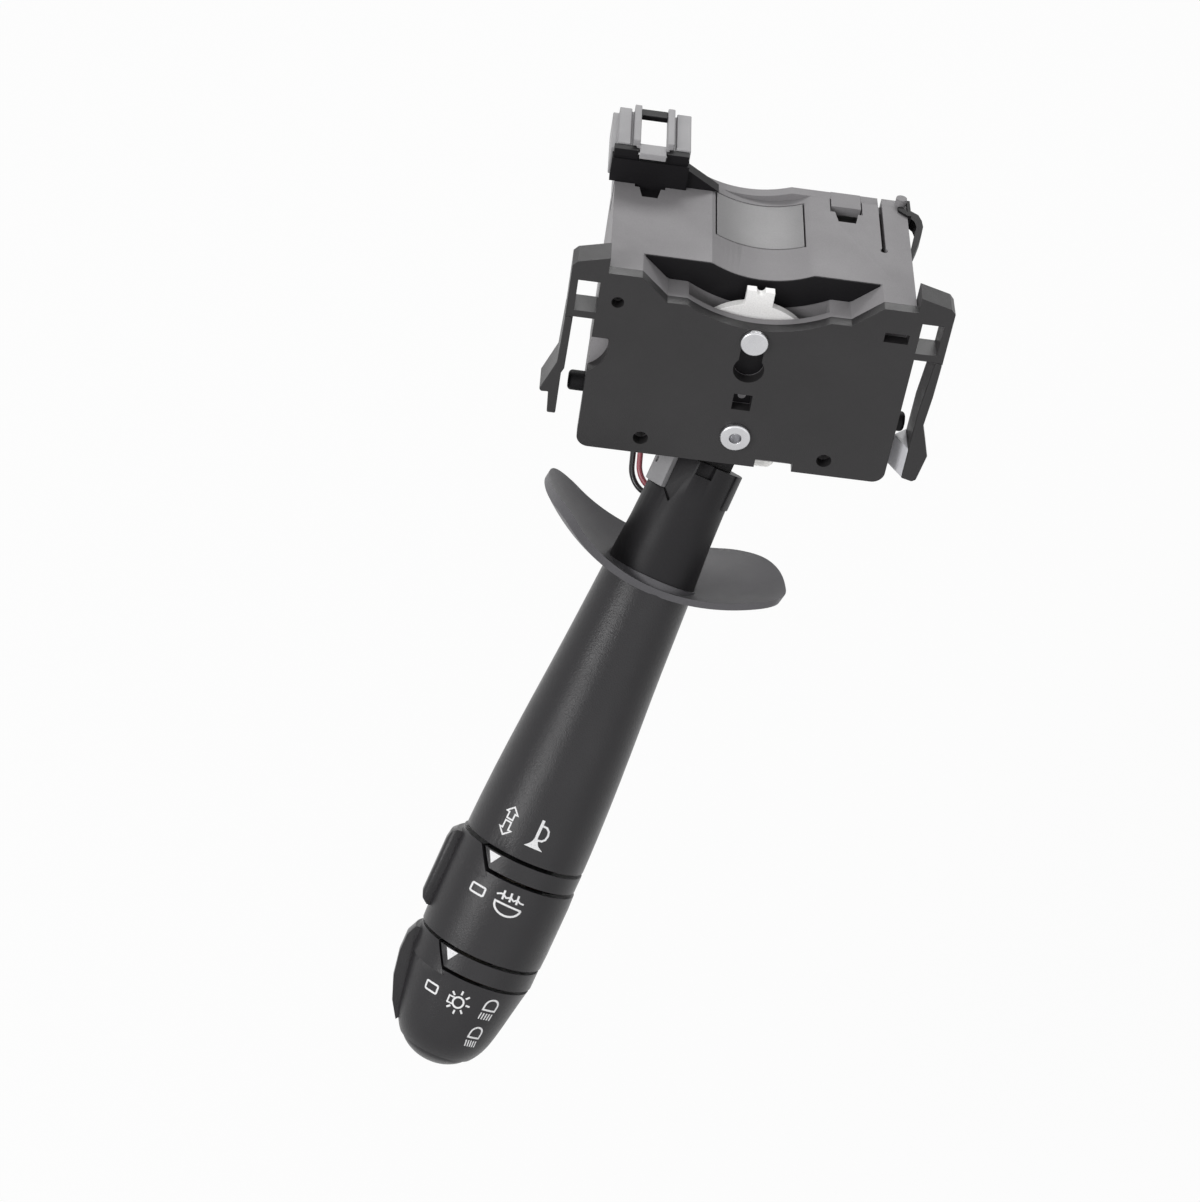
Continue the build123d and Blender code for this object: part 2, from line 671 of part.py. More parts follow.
# Connector shell, open to the rear, with a window between two raised ribs
with BuildPart() as connector_shell:
    block((-body_half_width, connector_right), (-connector_overhang, base_back),
          (connector_floor, connector_top))
    block((connector_left, -body_half_width), (-connector_overhang, base_back), (body_top, connector_top))
    block((window_left - rib_width, window_right + rib_width), (-connector_overhang, base_back),
          (connector_top, connector_top + rib_height))
    block((connector_left, connector_left + 1.2), (-connector_overhang, base_back),
          (connector_top - 1.4, connector_top), Mode.SUBTRACT)
    block((window_left - rib_width - 0.5, window_left - rib_width), (-connector_overhang, base_back),
          (connector_top - 0.7, connector_top), Mode.SUBTRACT)
    block((window_right + rib_width, window_right + rib_width + 0.5), (-connector_overhang, base_back),
          (connector_top - 0.7, connector_top), Mode.SUBTRACT)
    block((-body_half_width + connector_wall, connector_right - connector_wall),
          (-connector_overhang, base_back),
          (connector_floor + connector_wall, connector_top - connector_wall), Mode.SUBTRACT)
    block((window_left, window_right), (-connector_overhang, base_back),
          (connector_top - 2 * connector_wall, connector_top + rib_height), Mode.SUBTRACT)
    block((window_left, window_right), (base_back, connector_front + 0.4),
          (connector_top - connector_wall, connector_top - 0.2))
    block((window_left - sill_ear, window_right + sill_ear), (base_back - 1.0, base_back + sill_ear),
          (connector_top - connector_wall, connector_top - 0.2))
connector_shell.part.label = "connector_shell"
export_step(connector_shell.part, "parts/connector_shell.step")

# Bar across the rear end of the connector's window, which the plug's catch snaps behind
with BuildPart() as connector_lock_bar:
    block((window_left, window_right), (-connector_overhang, -connector_overhang + lock_bar_length),
          (connector_top - lock_bar_depth, connector_top + 0.2))
connector_lock_bar.part.label = "connector_lock_bar"
export_step(connector_lock_bar.part, "parts/connector_lock_bar.step")

# Terminals, two rows of square pins
with BuildPart() as connector_terminals:
    for z in pin_rows:
        for x in pin_columns:
            half = pin_thickness / 2
            bend = pin_root + (z - pin_rows[0]) * pin_bend_step
            foot = pin_foot_z - (z - pin_rows[0])
            block((x - half, x + half), (pin_tip, bend), (z - half, z + half))
            block((x - half, x + half), (bend - pin_thickness, bend), (foot - half, z + half))
            block((x - half, x + half), (cover_thickness + board_thickness, bend), (foot - half, foot + half))
connector_terminals.part.label = "connector_terminals"
export_step(connector_terminals.part, "parts/connector_terminals.step")

# Contact board on the inside of the rear cover, with its copper tracks
board_low = 8.0
board_high = 25.0
board_half_width = 20.0
board_ear_low = 18.0
track_thickness = 0.3
track_radii = (10.5, 13.0, 15.5)
track_width = 1.4
track_half_angle = 35.0
board_front = cover_thickness + board_thickness
with BuildPart() as contact_board:
    block((-board_half_width, board_half_width), (cover_thickness, board_front), (board_low, board_high))
    block((first_pin_x - 0.6, -board_half_width), (cover_thickness, board_front), (board_ear_low, board_high))
contact_board.part.label = "contact_board"
export_step(contact_board.part, "parts/contact_board.step")

with BuildPart() as contact_tracks:
    for radius in track_radii:
        with BuildSketch(facing(board_front)) as track:
            Circle(radius + track_width / 2)
            Circle(radius - track_width / 2, mode=Mode.SUBTRACT)
            with BuildLine():
                reach = 2 * radius
                half = radians(track_half_angle)
                Polyline((0, 0), (-reach * sin(half), reach * cos(half)),
                         (reach * sin(half), reach * cos(half)), close=True)
            make_face(mode=Mode.INTERSECT)
        extrude(track.sketch, amount=track_thickness)
contact_tracks.part.label = "contact_tracks"
export_step(contact_tracks.part, "parts/contact_tracks.step")

# Hollow rivet that the yoke turns on, with its ring-shaped head on the front plate
yoke_front_inner = yoke_front_height - yoke_front_wall
with BuildPart() as pivot_rivet:
    pin_towards_driver(0, 0, rivet_head_radius, (front_height, front_height + head_thickness))
    head_rim = pivot_rivet.edges().sort_by(Axis.Y)[0]
    fillet(head_rim, radius=head_thickness * 0.45)
    pin_towards_driver(0, 0, rivet_shank_radius, (yoke_front_inner - running_gap, front_height))
    flare_front = yoke_front_inner - running_gap
    flare_back = flare_front - rivet_flare_thickness
    pin_towards_driver(0, 0, rivet_flare_radius, (flare_back, flare_front))
    head_front = front_height + head_thickness
    pin_towards_driver(0, 0, rivet_bore_radius, (head_front - rivet_bore_depth, head_front), Mode.SUBTRACT)
pivot_rivet.part.label = "pivot_rivet"
export_step(pivot_rivet.part, "parts/pivot_rivet.step")

# Cancelling cam: a disc with a finger that reaches into the space of the steering hub
cam_front = slot_front - cam_running_gap
cam_back = cam_front - cam_thickness
with BuildPart() as cancel_cam:
    with BuildSketch(facing(cam_back)) as cam_face:
        with Locations((0, cam_centre_z)):
            Circle(cam_radius)
        with Locations((0, (cam_centre_z + finger_top) / 2)):
            Rectangle(finger_width, finger_top - cam_centre_z)
        with Locations((0, finger_top)):
            Circle(finger_notch_radius, mode=Mode.SUBTRACT)
        with Locations((0, cam_pin_z)):
            Circle(cam_pin_tail_radius, mode=Mode.SUBTRACT)
    extrude(amount=cam_thickness)
    pin_towards_driver(0, cam_peg_z, cam_peg_radius, (pocket_back + 0.4, cam_back))
cancel_cam.part.label = "cancel_cam"
export_step(cancel_cam.part, "parts/cancel_cam.step")

# Headed pin that the cam swings on, held in the narrow end of the plate's keyhole
with BuildPart() as cam_pin:
    pin_towards_driver(0, cam_pin_z, cam_pin_head_radius,
                       (front_height + running_gap, front_height + running_gap + head_thickness))
    pin_rim = cam_pin.edges().sort_by(Axis.Y)[0]
    fillet(pin_rim, radius=head_thickness * 0.35)
    pin_towards_driver(0, cam_pin_z, cam_pin_shank_radius, (cam_front, front_height + running_gap))
    pin_towards_driver(0, cam_pin_z, cam_pin_tail_radius, (cam_back - 0.5, cam_front))
cam_pin.part.label = "cam_pin"
export_step(cam_pin.part, "parts/cam_pin.step")

# Hairpin spring behind the cam, whose legs stand on both sides of the cam's peg
wire_height = pocket_back + cancel_wire_radius
leg_x = cam_peg_radius + cancel_wire_radius + 0.1
with BuildPart() as cancel_spring:
    with BuildLine() as hairpin:
        leg_foot = cancel_anchor_z - cancel_leg_length
        Line((-leg_x, -wire_height, leg_foot), (-leg_x, -wire_height, cancel_anchor_z))
        ThreePointArc((-leg_x, -wire_height, cancel_anchor_z), (0, -wire_height, cancel_anchor_z + leg_x),
                      (leg_x, -wire_height, cancel_anchor_z))
        Line((leg_x, -wire_height, cancel_anchor_z), (leg_x, -wire_height, leg_foot))
    with BuildSketch(Plane(origin=(-leg_x, -wire_height, leg_foot), z_dir=(0, 0, 1))):
        Circle(cancel_wire_radius)
    sweep(path=hairpin.line)
cancel_spring.part.label = "cancel_spring"
export_step(cancel_spring.part, "parts/cancel_spring.step")

# Frame of the yoke: local x across it, y up against the stalk's lean, normal to the driver
yoke_frame = Plane(origin=(0, 0, 0), x_dir=pin_dir, z_dir=(0, -1, 0))


def yoke_block(x_range, height_range, up_range, mode=Mode.ADD):
    """Add or cut a block in the leaning frame of the yoke."""
    with BuildSketch(yoke_frame.offset(height_range[0])) as face:
        with Locations(((x_range[0] + x_range[1]) / 2, (up_range[0] + up_range[1]) / 2)):
            Rectangle(x_range[1] - x_range[0], up_range[1] - up_range[0])
    extrude(face.sketch, amount=height_range[1] - height_range[0], mode=mode)


# Yoke: two cheeks for the cross pin between a front and a back wall, open downwards
plunger_plane = Plane(origin=(0, -plunger_height, 0), x_dir=(0, 1, 0), z_dir=down_dir * -1)
yoke_top = yoke_up + yoke_top_wall
plunger_foot = plunger_tip_radius - plunger_length
with BuildPart() as turn_yoke:
    yoke_block((-yoke_half_width, yoke_half_width), (yoke_back_height, yoke_front_height),
               (-yoke_down, yoke_up))
    yoke_block((-yoke_half_width, yoke_half_width), (yoke_front_inner, yoke_front_height),
               (-yoke_down, -yoke_front_down), Mode.SUBTRACT)
    yoke_block((lever_pivot_x - yoke_inner_half_width, lever_pivot_x + yoke_inner_half_width),
               (yoke_back_height + yoke_back_wall, yoke_front_inner), (-yoke_down, yoke_up), Mode.SUBTRACT)
    yoke_block((-yoke_half_width, yoke_half_width), (plunger_height - 5.0, plunger_height + 5.0),
               (yoke_up, yoke_top))
    yoke_block((-yoke_half_width, yoke_half_width), (yoke_back_height, yoke_front_height),
               (yoke_up - 1.0, yoke_up))
    pin_towards_driver(0, 0, trunnion_radius, (cover_thickness + 0.4, yoke_back_height + 0.5))
    pin_towards_driver(0, 0, rivet_shank_radius + running_gap, (yoke_front_inner, yoke_front_height),
                       Mode.SUBTRACT)
    pin_bore = Plane(origin=lever.origin - pin_dir * 20, z_dir=pin_dir)
    rod(pin_bore, cross_pin_radius + pin_fit, 40, Mode.SUBTRACT)
    rod(plunger_plane.offset(yoke_top - plunger_bore_depth), plunger_radius + running_gap,
        plunger_bore_depth, Mode.SUBTRACT)
turn_yoke.part.label = "turn_yoke"
export_step(turn_yoke.part, "parts/turn_yoke.step")

# Cross pin that the stalk pulls on
with BuildPart() as cross_pin:
    pin_half = yoke_half_width - 0.3
    rod(Plane(origin=lever.origin - pin_dir * (pin_half + lever_pivot_x * cos(lean_left)), z_dir=pin_dir),
        cross_pin_radius, 2 * pin_half)
    chamfer(cross_pin.edges(), length=0.4)
cross_pin.part.label = "cross_pin"
export_step(cross_pin.part, "parts/cross_pin.step")


# Arc of three notches above the yoke that the plunger runs in
with BuildPart() as detent_track:
    track_path = plunger_tip_radius + detent_travel_gap
    low_height = plunger_height - detent_track_half_depth
    block((-3.5, 17.5), (low_height, cavity_front), (17.5, 28.6))
    pin_towards_driver(0, 0, track_path, (low_height, cavity_front), Mode.SUBTRACT)
    notch_orbit = track_path - detent_notch_radius + detent_notch_depth
    for turn in (-detent_angle, 0, detent_angle):
        notch_turn = radians(stalk_lean_left + turn)
        pin_towards_driver(notch_orbit * sin(notch_turn), notch_orbit * cos(notch_turn), detent_notch_radius,
                           (low_height, cavity_front), Mode.SUBTRACT)
detent_track.part.label = "detent_track"
export_step(detent_track.part, "parts/detent_track.step")

# Plunger with its round nose, and the spring in its skirt
with BuildPart() as detent_plunger:
    nose_plane = plunger_plane.offset(plunger_tip_radius - plunger_radius)
    rod(plunger_plane.offset(plunger_foot), plunger_radius, plunger_length - plunger_radius)
    with Locations(nose_plane.location):
        Sphere(plunger_radius)
    rod(plunger_plane.offset(plunger_foot), plunger_skirt_bore, plunger_bore_depth, Mode.SUBTRACT)
detent_plunger.part.label = "detent_plunger"
export_step(detent_plunger.part, "parts/detent_plunger.step")

spring_wire = 0.3
spring_foot = yoke_top - plunger_bore_depth + spring_wire + 0.1
spring_turns = 5
with BuildPart() as detent_spring:
    spring_height = plunger_foot + plunger_bore_depth - spring_wire - 0.2 - spring_foot
    spring_path, spring_section = coil(plunger_plane.offset(spring_foot).origin, plunger_plane.z_dir,
                                       plunger_skirt_bore - 0.4, spring_wire, spring_height / spring_turns,
                                       spring_height)
    sweep(spring_section, path=spring_path, is_frenet=True)
detent_spring.part.label = "detent_spring"
export_step(detent_spring.part, "parts/detent_spring.step")

# Brass slider on the yoke, with one finger for each track
slider_thickness = 0.6
finger_size = 1.0
finger_gap = 0.1
with BuildPart() as turn_contact_slider:
    yoke_block((-3.0, 3.0), (yoke_back_height - slider_thickness, yoke_back_height),
               (track_radii[0] - 1.5, track_radii[-1] + 1.5))
    for radius in track_radii:
        yoke_block((-finger_size / 2, finger_size / 2),
                   (board_front + track_thickness + finger_gap, yoke_back_height - slider_thickness),
                   (radius - finger_size / 2, radius + finger_size / 2))
turn_contact_slider.part.label = "turn_contact_slider"
export_step(turn_contact_slider.part, "parts/turn_contact_slider.step")

# Soft buffer under the front of the box
with BuildPart() as turn_stop_buffer:
    buffer_length = 4.0
    buffer_back = plate_back - 5.0
    buffer_origin = (bottom_notch_left, -buffer_back, body_bottom)
    buffer_plane = Plane(origin=buffer_origin, x_dir=(1, 0, 0), z_dir=(0, -1, 0))
    buffer_points = [(0, 0), (buffer_length, 0), (buffer_length, -0.5),
                     (buffer_length - 1.0, -1.5), (0, -1.5)]
    extrude(polygon(buffer_plane, buffer_points), amount=plate_back - buffer_back)
turn_stop_buffer.part.label = "turn_stop_buffer"
export_step(turn_stop_buffer.part, "parts/turn_stop_buffer.step")


def shell_outline(extra, first, last):
    """Spline of the stalk's outer surface as (radius, distance) points."""
    return Spline((neck_end_radius + extra, first), *[(r + extra, t) for t, r in shell_radii],
                  (shell_end_radius + extra, last))


# Neck between the cross pin and the finger shield
slant_middle = (slant_start + slant_end) / 2
shell_start = neck_end
shell_end = fog_groove_a - groove_width / 2
wire_hole_distance = 29.0
wire_hole_angle = -139.0
wire_hole_radius = 1.8
clip_from = -100.0
clip_to = -52.0
clip_inner_radius = 7.6
recess_angle = -38.0
recess_floor_radius = 7.8
recess_points = [(-3.4, -17.0), (3.2, -17.0), (2.1, -20.9), (0.2, -28.3), (-2.6, -25.6)]
with BuildPart() as neck:
    ring_piece([(0, neck_start), (neck_waist_radius, neck_start), (neck_waist_radius, neck_shoulder),
                (neck_mid_radius, neck_waist), (neck_end_radius, neck_end), (0, neck_end)])
    sector([(neck_waist_radius - 1, neck_start), (rib_radius, neck_start), (rib_radius, neck_shoulder - 0.6),
            (neck_waist_radius - 1, neck_shoulder)], rib_from, rib_to)
    with BuildSketch(across(-stem_tail)) as stem_face:
        Rectangle(2 * stem_half_width, 2 * stem_half_depth)
    extrude(stem_face.sketch, amount=neck_start + stem_tail)
    sector([(clip_inner_radius, neck_start - 1), (clip_ring_radius + 1, neck_start - 1),
            (clip_ring_radius + 1, neck_shoulder), (clip_inner_radius, neck_shoulder)],
           clip_from, clip_to, Mode.SUBTRACT)
    extrude(polygon(tangent(recess_angle, recess_floor_radius), recess_points), amount=5, mode=Mode.SUBTRACT)
    sector([(6.8, neck_start - 1), (neck_waist_radius + 1, neck_start - 1),
            (neck_waist_radius + 1, 21.0), (6.8, 21.0)], -18, 6, Mode.SUBTRACT)
    rod(across(neck_bore_start), neck_bore_radius, tube_start - neck_bore_start, Mode.SUBTRACT)
    rod(across(tube_start), tube_radius + pin_fit, neck_end - tube_start, Mode.SUBTRACT)
    rod(Plane(origin=lever.origin + stalk_dir * wire_hole_distance, z_dir=radial(wire_hole_angle)),
        wire_hole_radius, 2 * neck_end_radius, Mode.SUBTRACT)
    rod(pin_bore, cross_pin_radius + running_gap, 40, Mode.SUBTRACT)
neck.part.label = "neck"
export_step(neck.part, "parts/neck.step")

# Light grey cable clip let into the neck's collar
with BuildPart() as wire_clip:
    sector([(clip_inner_radius, neck_start), (clip_ring_radius, neck_start),
            (clip_ring_radius, neck_shoulder - panel_gap), (clip_inner_radius, neck_shoulder - panel_gap)],
           clip_from + 1, clip_to - 1)
    eye_plane = tangent((clip_from + clip_to) / 2 - 8, clip_inner_radius - 0.5)
    rod(Plane(origin=eye_plane.origin + stalk_dir * (neck_start + 3.4), z_dir=eye_plane.z_dir), 0.7, 4,
        Mode.SUBTRACT)
wire_clip.part.label = "wire_clip"
export_step(wire_clip.part, "parts/wire_clip.step")

# Long outer shell of the stalk, with a spigot that carries the first pointer band
shell_inner_first = neck_end_radius - shell_wall
shell_inner_last = shell_end_radius - shell_wall
end_wall = 3.0
spigot_end = fog_groove_b + 0.6
with BuildPart() as stalk_shell:
    with BuildSketch(along(0)) as shell_face:
        with BuildLine():
            shell_outline(0, shell_start, shell_end)
            Polyline((shell_end_radius, shell_end), (spigot_radius, shell_end), (spigot_radius, spigot_end),
                     (tube_radius + pin_fit, spigot_end), (tube_radius + pin_fit, shell_end - end_wall),
                     (shell_inner_last, shell_end - end_wall), (shell_inner_first, shell_start + shell_wall),
                     (tube_radius + pin_fit, shell_start + shell_wall), (tube_radius + pin_fit, shell_start),
                     (neck_end_radius, shell_start))
        make_face()
    revolve(shell_face.sketch, axis=stalk_axis)
stalk_shell.part.label = "stalk_shell"
export_step(stalk_shell.part, "parts/stalk_shell.step")

# Finger shield: two wings of a thin dish with a collar round the stalk
with BuildPart() as finger_shield:
    with Locations((0, -shield_centre_height, 0)):
        Sphere(shield_radius + shield_thickness / 2)
        Sphere(shield_radius - shield_thickness / 2, mode=Mode.SUBTRACT)
    wing_turn = radians(shield_mid_angle)
    wing_plane = Plane(origin=(0, -(shield_front + shield_back) / 2, 0),
                       x_dir=(cos(wing_turn), 0, -sin(wing_turn)),
                       z_dir=(-sin(wing_turn), 0, -cos(wing_turn)))
    middle_height = (shield_front + shield_back) / 2
    right_end = [(across_wing, height - middle_height) for across_wing, height in shield_end]
    left_end = [(-across_wing, up) for across_wing, up in right_end]
    with BuildSketch(wing_plane) as wing_face:
        with BuildLine():
            Spline(*right_end)
            Line(right_end[-1], left_end[-1])
            Spline(*reversed(left_end))
            Line(left_end[0], right_end[0])
        make_face()
    extrude(wing_face.sketch, amount=2 * shield_radius, mode=Mode.INTERSECT)
    ring_piece([(neck_end_radius - 1, neck_end - 0.8), (neck_end_radius + 0.45, neck_end - 0.8),
                (neck_end_radius + 0.5, neck_end + 0.8), (neck_end_radius - 1, neck_end + 0.8)])
    ring_piece([(0, neck_shoulder), (neck_waist_radius + pin_fit, neck_shoulder),
                (neck_mid_radius + pin_fit, neck_waist), (neck_end_radius + pin_fit, neck_end),
                (shell_radii[0][1] + pin_fit + 0.02, shell_radii[0][0]),
                (shell_radii[1][1] + pin_fit, shell_radii[1][0]), (0, shell_radii[1][0])], Mode.SUBTRACT)
finger_shield.part.label = "finger_shield"
export_step(finger_shield.part, "parts/finger_shield.step")

# Inner tube through the whole stalk
with BuildPart() as inner_tube:
    ring_piece([(tube_bore_radius, tube_start), (tube_radius, tube_start), (tube_radius, tube_end),
                (tube_bore_radius, tube_end)])
inner_tube.part.label = "inner_tube"
export_step(inner_tube.part, "parts/inner_tube.step")


def slanted_edge(groove_a, groove_b, gap):
    """Line of the band's slanted end on the stalk's surface, moved sideways by a gap."""
    reach = ring_radius * sin(radians((slant_end - slant_start) / 2))
    lean = 2 * reach / (groove_b - groove_a)
    over = 3.0
    top = (-reach - lean * over + gap, -(groove_a - over))
    foot = (reach + lean * over + gap, -(groove_b + over))
    return top, foot


def cut_beside_edge(groove_a, groove_b, gap, side):
    """Cut away what lies beside the slanted edge, on one side of it."""
    top, foot = slanted_edge(groove_a, groove_b, gap)
    far = side * 2 * ring_radius
    face = polygon(tangent(slant_middle, 0), [top, foot, (far, foot[1]), (far, top[1])])
    extrude(face, amount=2 * ring_radius, mode=Mode.SUBTRACT)


def band(groove_a, groove_b, inner, outer, turn):
    """Fixed band between two grooves, open where the ring's tab turns."""
    first = groove_a + groove_width / 2
    last = groove_b - groove_width / 2
    sector([(inner, first), (outer, first), (outer, last), (inner, last)],
           slant_start - 8, 360 + tab_left - turn - 5)
    cut_beside_edge(groove_a, groove_b, groove_width / 2, -1)


def tab(groove_a, groove_b, outer):
    """Raised part of a ring beside the band, which carries the finger lug."""
    first = groove_a + groove_width / 2
    last = groove_b + groove_width / 2 + 1.0
    sector([(tab_inner_radius, first), (outer, first), (outer, last), (tab_inner_radius, last)],
           tab_left, slant_end + 8)


# Pointer bands, fixed on the spigot and on the inner tube
with BuildPart() as fog_pointer_band:
    band(fog_groove_a, fog_groove_b, spigot_radius, band_radius, fog_turn)
fog_pointer_band.part.label = "fog_pointer_band"
export_step(fog_pointer_band.part, "parts/fog_pointer_band.step")

band_hub_radius = tab_inner_radius - 0.6
with BuildPart() as light_pointer_band:
    band(light_groove_a, light_groove_b, band_hub_radius - 1, light_band_radius, light_turn)
    ring_piece([(tube_radius + pin_fit, light_groove_a + groove_width / 2),
                (band_hub_radius, light_groove_a + groove_width / 2),
                (band_hub_radius, light_groove_b - groove_width / 2),
                (tube_radius + pin_fit, light_groove_b - groove_width / 2)])
light_pointer_band.part.label = "light_pointer_band"
export_step(light_pointer_band.part, "parts/light_pointer_band.step")


def lug_edges(part):
    """Long upper edges of a finger lug."""
    return part.edges().filter_by(is_lug_edge)


def is_lug_edge(edge):
    """Whether an edge runs down the stalk and stands out from the ring."""
    return (edge.length > 3 and abs(edge.tangent_at(0.5).dot(stalk_dir)) > 0.9
            and min_radius(edge) > ring_radius + 0.5)


def min_radius(edge):
    """Smallest distance of an edge's ends and middle from the stalk's axis."""
    points = [edge.position_at(share) for share in (0.02, 0.5, 0.98)]
    local = [lever.to_local_coords(point) for point in points]
    return min(sqrt(point.X ** 2 + point.Y ** 2) for point in local)


ring_first = fog_groove_b + groove_width / 2
ring_last = light_groove_a - groove_width / 2
with BuildPart() as fog_ring:
    tab(fog_groove_a, fog_groove_b, ring_radius)
    cut_beside_edge(fog_groove_a, fog_groove_b, -groove_width / 2, 1)
    ring_piece([(ring_inner_radius, ring_first), (ring_radius - 0.15, ring_first),
                (ring_radius, ring_first + 3), (ring_radius, ring_last - 3),
                (ring_radius - 0.1, ring_last), (ring_inner_radius, ring_last)])
    ring_piece([(tube_radius + running_gap, fog_hub_start), (ring_inner_radius, fog_hub_start),
                (ring_inner_radius, fog_hub_start + hub_thickness),
                (tube_radius + running_gap, fog_hub_start + hub_thickness)])
    lug_base = ring_radius - 1.2
    sector([(lug_base, fog_lug_start), (lug_radius - 1.3, fog_lug_start),
            (lug_radius - 0.3, fog_lug_start + 1.0),
            (lug_radius, fog_lug_start + 2.8), (lug_radius, fog_lug_end - 2.2),
            (lug_radius - 0.5, fog_lug_end - 0.9), (lug_radius - 1.7, fog_lug_end), (lug_base, fog_lug_end)],
           lug_angle - lug_half_angle, lug_angle + lug_half_angle)
    fillet(lug_edges(fog_ring), radius=1.1)
fog_ring.part.label = "fog_ring"
export_step(fog_ring.part, "parts/fog_ring.step")

# Light ring, which closes the end of the stalk round the horn button
light_first = light_groove_b + groove_width / 2
light_last = button_groove - 0.1
with BuildPart() as light_ring:
    tab(light_groove_a, light_groove_b, tip_start_radius)
    cut_beside_edge(light_groove_a, light_groove_b, -groove_width / 2, 1)
    with BuildSketch(along(0)) as light_face:
        with BuildLine():
            lip = button_radius + button_gap
            Spline((tip_start_radius, light_first), *[(r, t) for t, r in tip_points], (lip + 0.4, light_last))
            Polyline((lip + 0.4, light_last), (lip, light_last), (lip, light_last - 1.5),
                     (lip + 0.8, light_last - 4), (tip_start_radius - 2.4, light_first + 6),
                     (tip_start_radius - 2, light_first), (tip_start_radius, light_first))
        make_face()
    revolve(light_face.sketch, axis=stalk_axis)
    ring_piece([(tube_radius + running_gap, light_hub_start), (tip_start_radius - 2.2, light_hub_start),
                (tip_start_radius - 2.8, light_hub_start + hub_thickness),
                (tube_radius + running_gap, light_hub_start + hub_thickness)])
    lug_start = light_groove_a + 1.8
    sector([(tip_start_radius - 1.5, lug_start), (light_lug_points[0][1] - 1.0, lug_start)]
           + [(r, t) for t, r in light_lug_points]
           + [(tip_points[-1][1] - 0.2, light_last - 1.6), (tip_points[-1][1] - 1.2, light_last - 3.0)],
           lug_angle - lug_half_angle, lug_angle + lug_half_angle)
light_ring.part.label = "light_ring"
export_step(light_ring.part, "parts/light_ring.step")

# Horn button in the tip, with its stem through the tube and its spring
with BuildPart() as horn_button:
    with BuildSketch(along(0)) as button_face:
        with BuildLine():
            Spline((0, tip_length), (4.6, tip_length - 0.9), (6.6, tip_length - 2.2),
                   (button_radius, button_groove), tangents=[(1, 0), (0.3, -1)])
            Polyline((button_radius, button_groove), (button_radius, button_skirt_start),
                     (button_recess_radius, button_skirt_start), (button_recess_radius, button_recess_end),
                     (button_stem_radius, button_recess_end), (button_stem_radius, button_stem_start),
                     (0, button_stem_start), (0, tip_length))
        make_face()
    revolve(button_face.sketch, axis=stalk_axis)
horn_button.part.label = "horn_button"
export_step(horn_button.part, "parts/horn_button.step")

horn_spring_first = tube_end + spring_wire + 0.05
horn_spring_height = button_recess_end - 2 * spring_wire - tube_end - 0.1
with BuildPart() as horn_spring:
    horn_path, horn_section = coil(across(horn_spring_first).origin, stalk_dir,
                                   (button_stem_radius + button_recess_radius) / 2, spring_wire,
                                   horn_spring_height / spring_turns, horn_spring_height)
    sweep(horn_section, path=horn_path, is_frenet=True)
horn_spring.part.label = "horn_spring"
export_step(horn_spring.part, "parts/horn_spring.step")

with BuildPart() as horn_contact:
    rod(across(horn_contact_start), tube_bore_radius - 0.05, horn_contact_length)
horn_contact.part.label = "horn_contact"
export_step(horn_contact.part, "parts/horn_contact.step")

# Contact discs on the tube, and the brass wipers that the rings carry over them
contact_sets = (("fog", fog_hub_start, 8.6), ("light", light_hub_start, 8.2))
disc_thickness = 1.2
wiper_reach = 2.2
for ring_name, hub_start, disc_radius in contact_sets:
    disc_front = hub_start - wiper_reach - finger_gap
    with BuildPart() as contact_disc:
        disc_back = disc_front - disc_thickness
        ring_piece([(tube_radius + pin_fit, disc_back), (disc_radius, disc_back),
                    (disc_radius, disc_front), (tube_radius + pin_fit, disc_front)])
    contact_disc.part.label = ring_name + "_contact_disc"
    export_step(contact_disc.part, "parts/" + contact_disc.part.label + ".step")
    with BuildPart() as wiper:
        for arm_angle in (0, 180):
            sector([(5.0, hub_start - 0.5), (7.0, hub_start - 0.5), (7.0, hub_start), (5.0, hub_start)],
                   arm_angle, arm_angle + 50)
            sector([(5.2, hub_start - wiper_reach), (6.8, hub_start - wiper_reach), (6.8, hub_start - 0.5),
                    (5.2, hub_start - 0.5)], arm_angle, arm_angle + 8)
    wiper.part.label = ring_name + "_wiper"
    export_step(wiper.part, "parts/" + wiper.part.label + ".step")

# Return spring of the pull, between the stem's tail and the yoke's back wall
pull_spring_wire = 0.35
pull_spring_radius = 1.6
with BuildPart() as pull_spring:
    seat_distance = -3.4
    seat_depth = stem_half_depth + pull_spring_wire + 0.05
    pull_start = lever.origin + stalk_dir * seat_distance - lever.y_dir * seat_depth
    back_room = -pull_start.Y - yoke_back_height - yoke_back_wall
    coil_edge = (pull_spring_radius + pull_spring_wire) * sin(lean_front)
    pull_height = (back_room - coil_edge) / cos(lean_front) - pull_spring_wire
    pull_path, pull_section = coil(pull_start, lever.y_dir * -1, pull_spring_radius, pull_spring_wire,
                                   pull_height / 3, pull_height)
    sweep(pull_section, path=pull_path, is_frenet=True)
pull_spring.part.label = "pull_spring"
export_step(pull_spring.part, "parts/pull_spring.step")

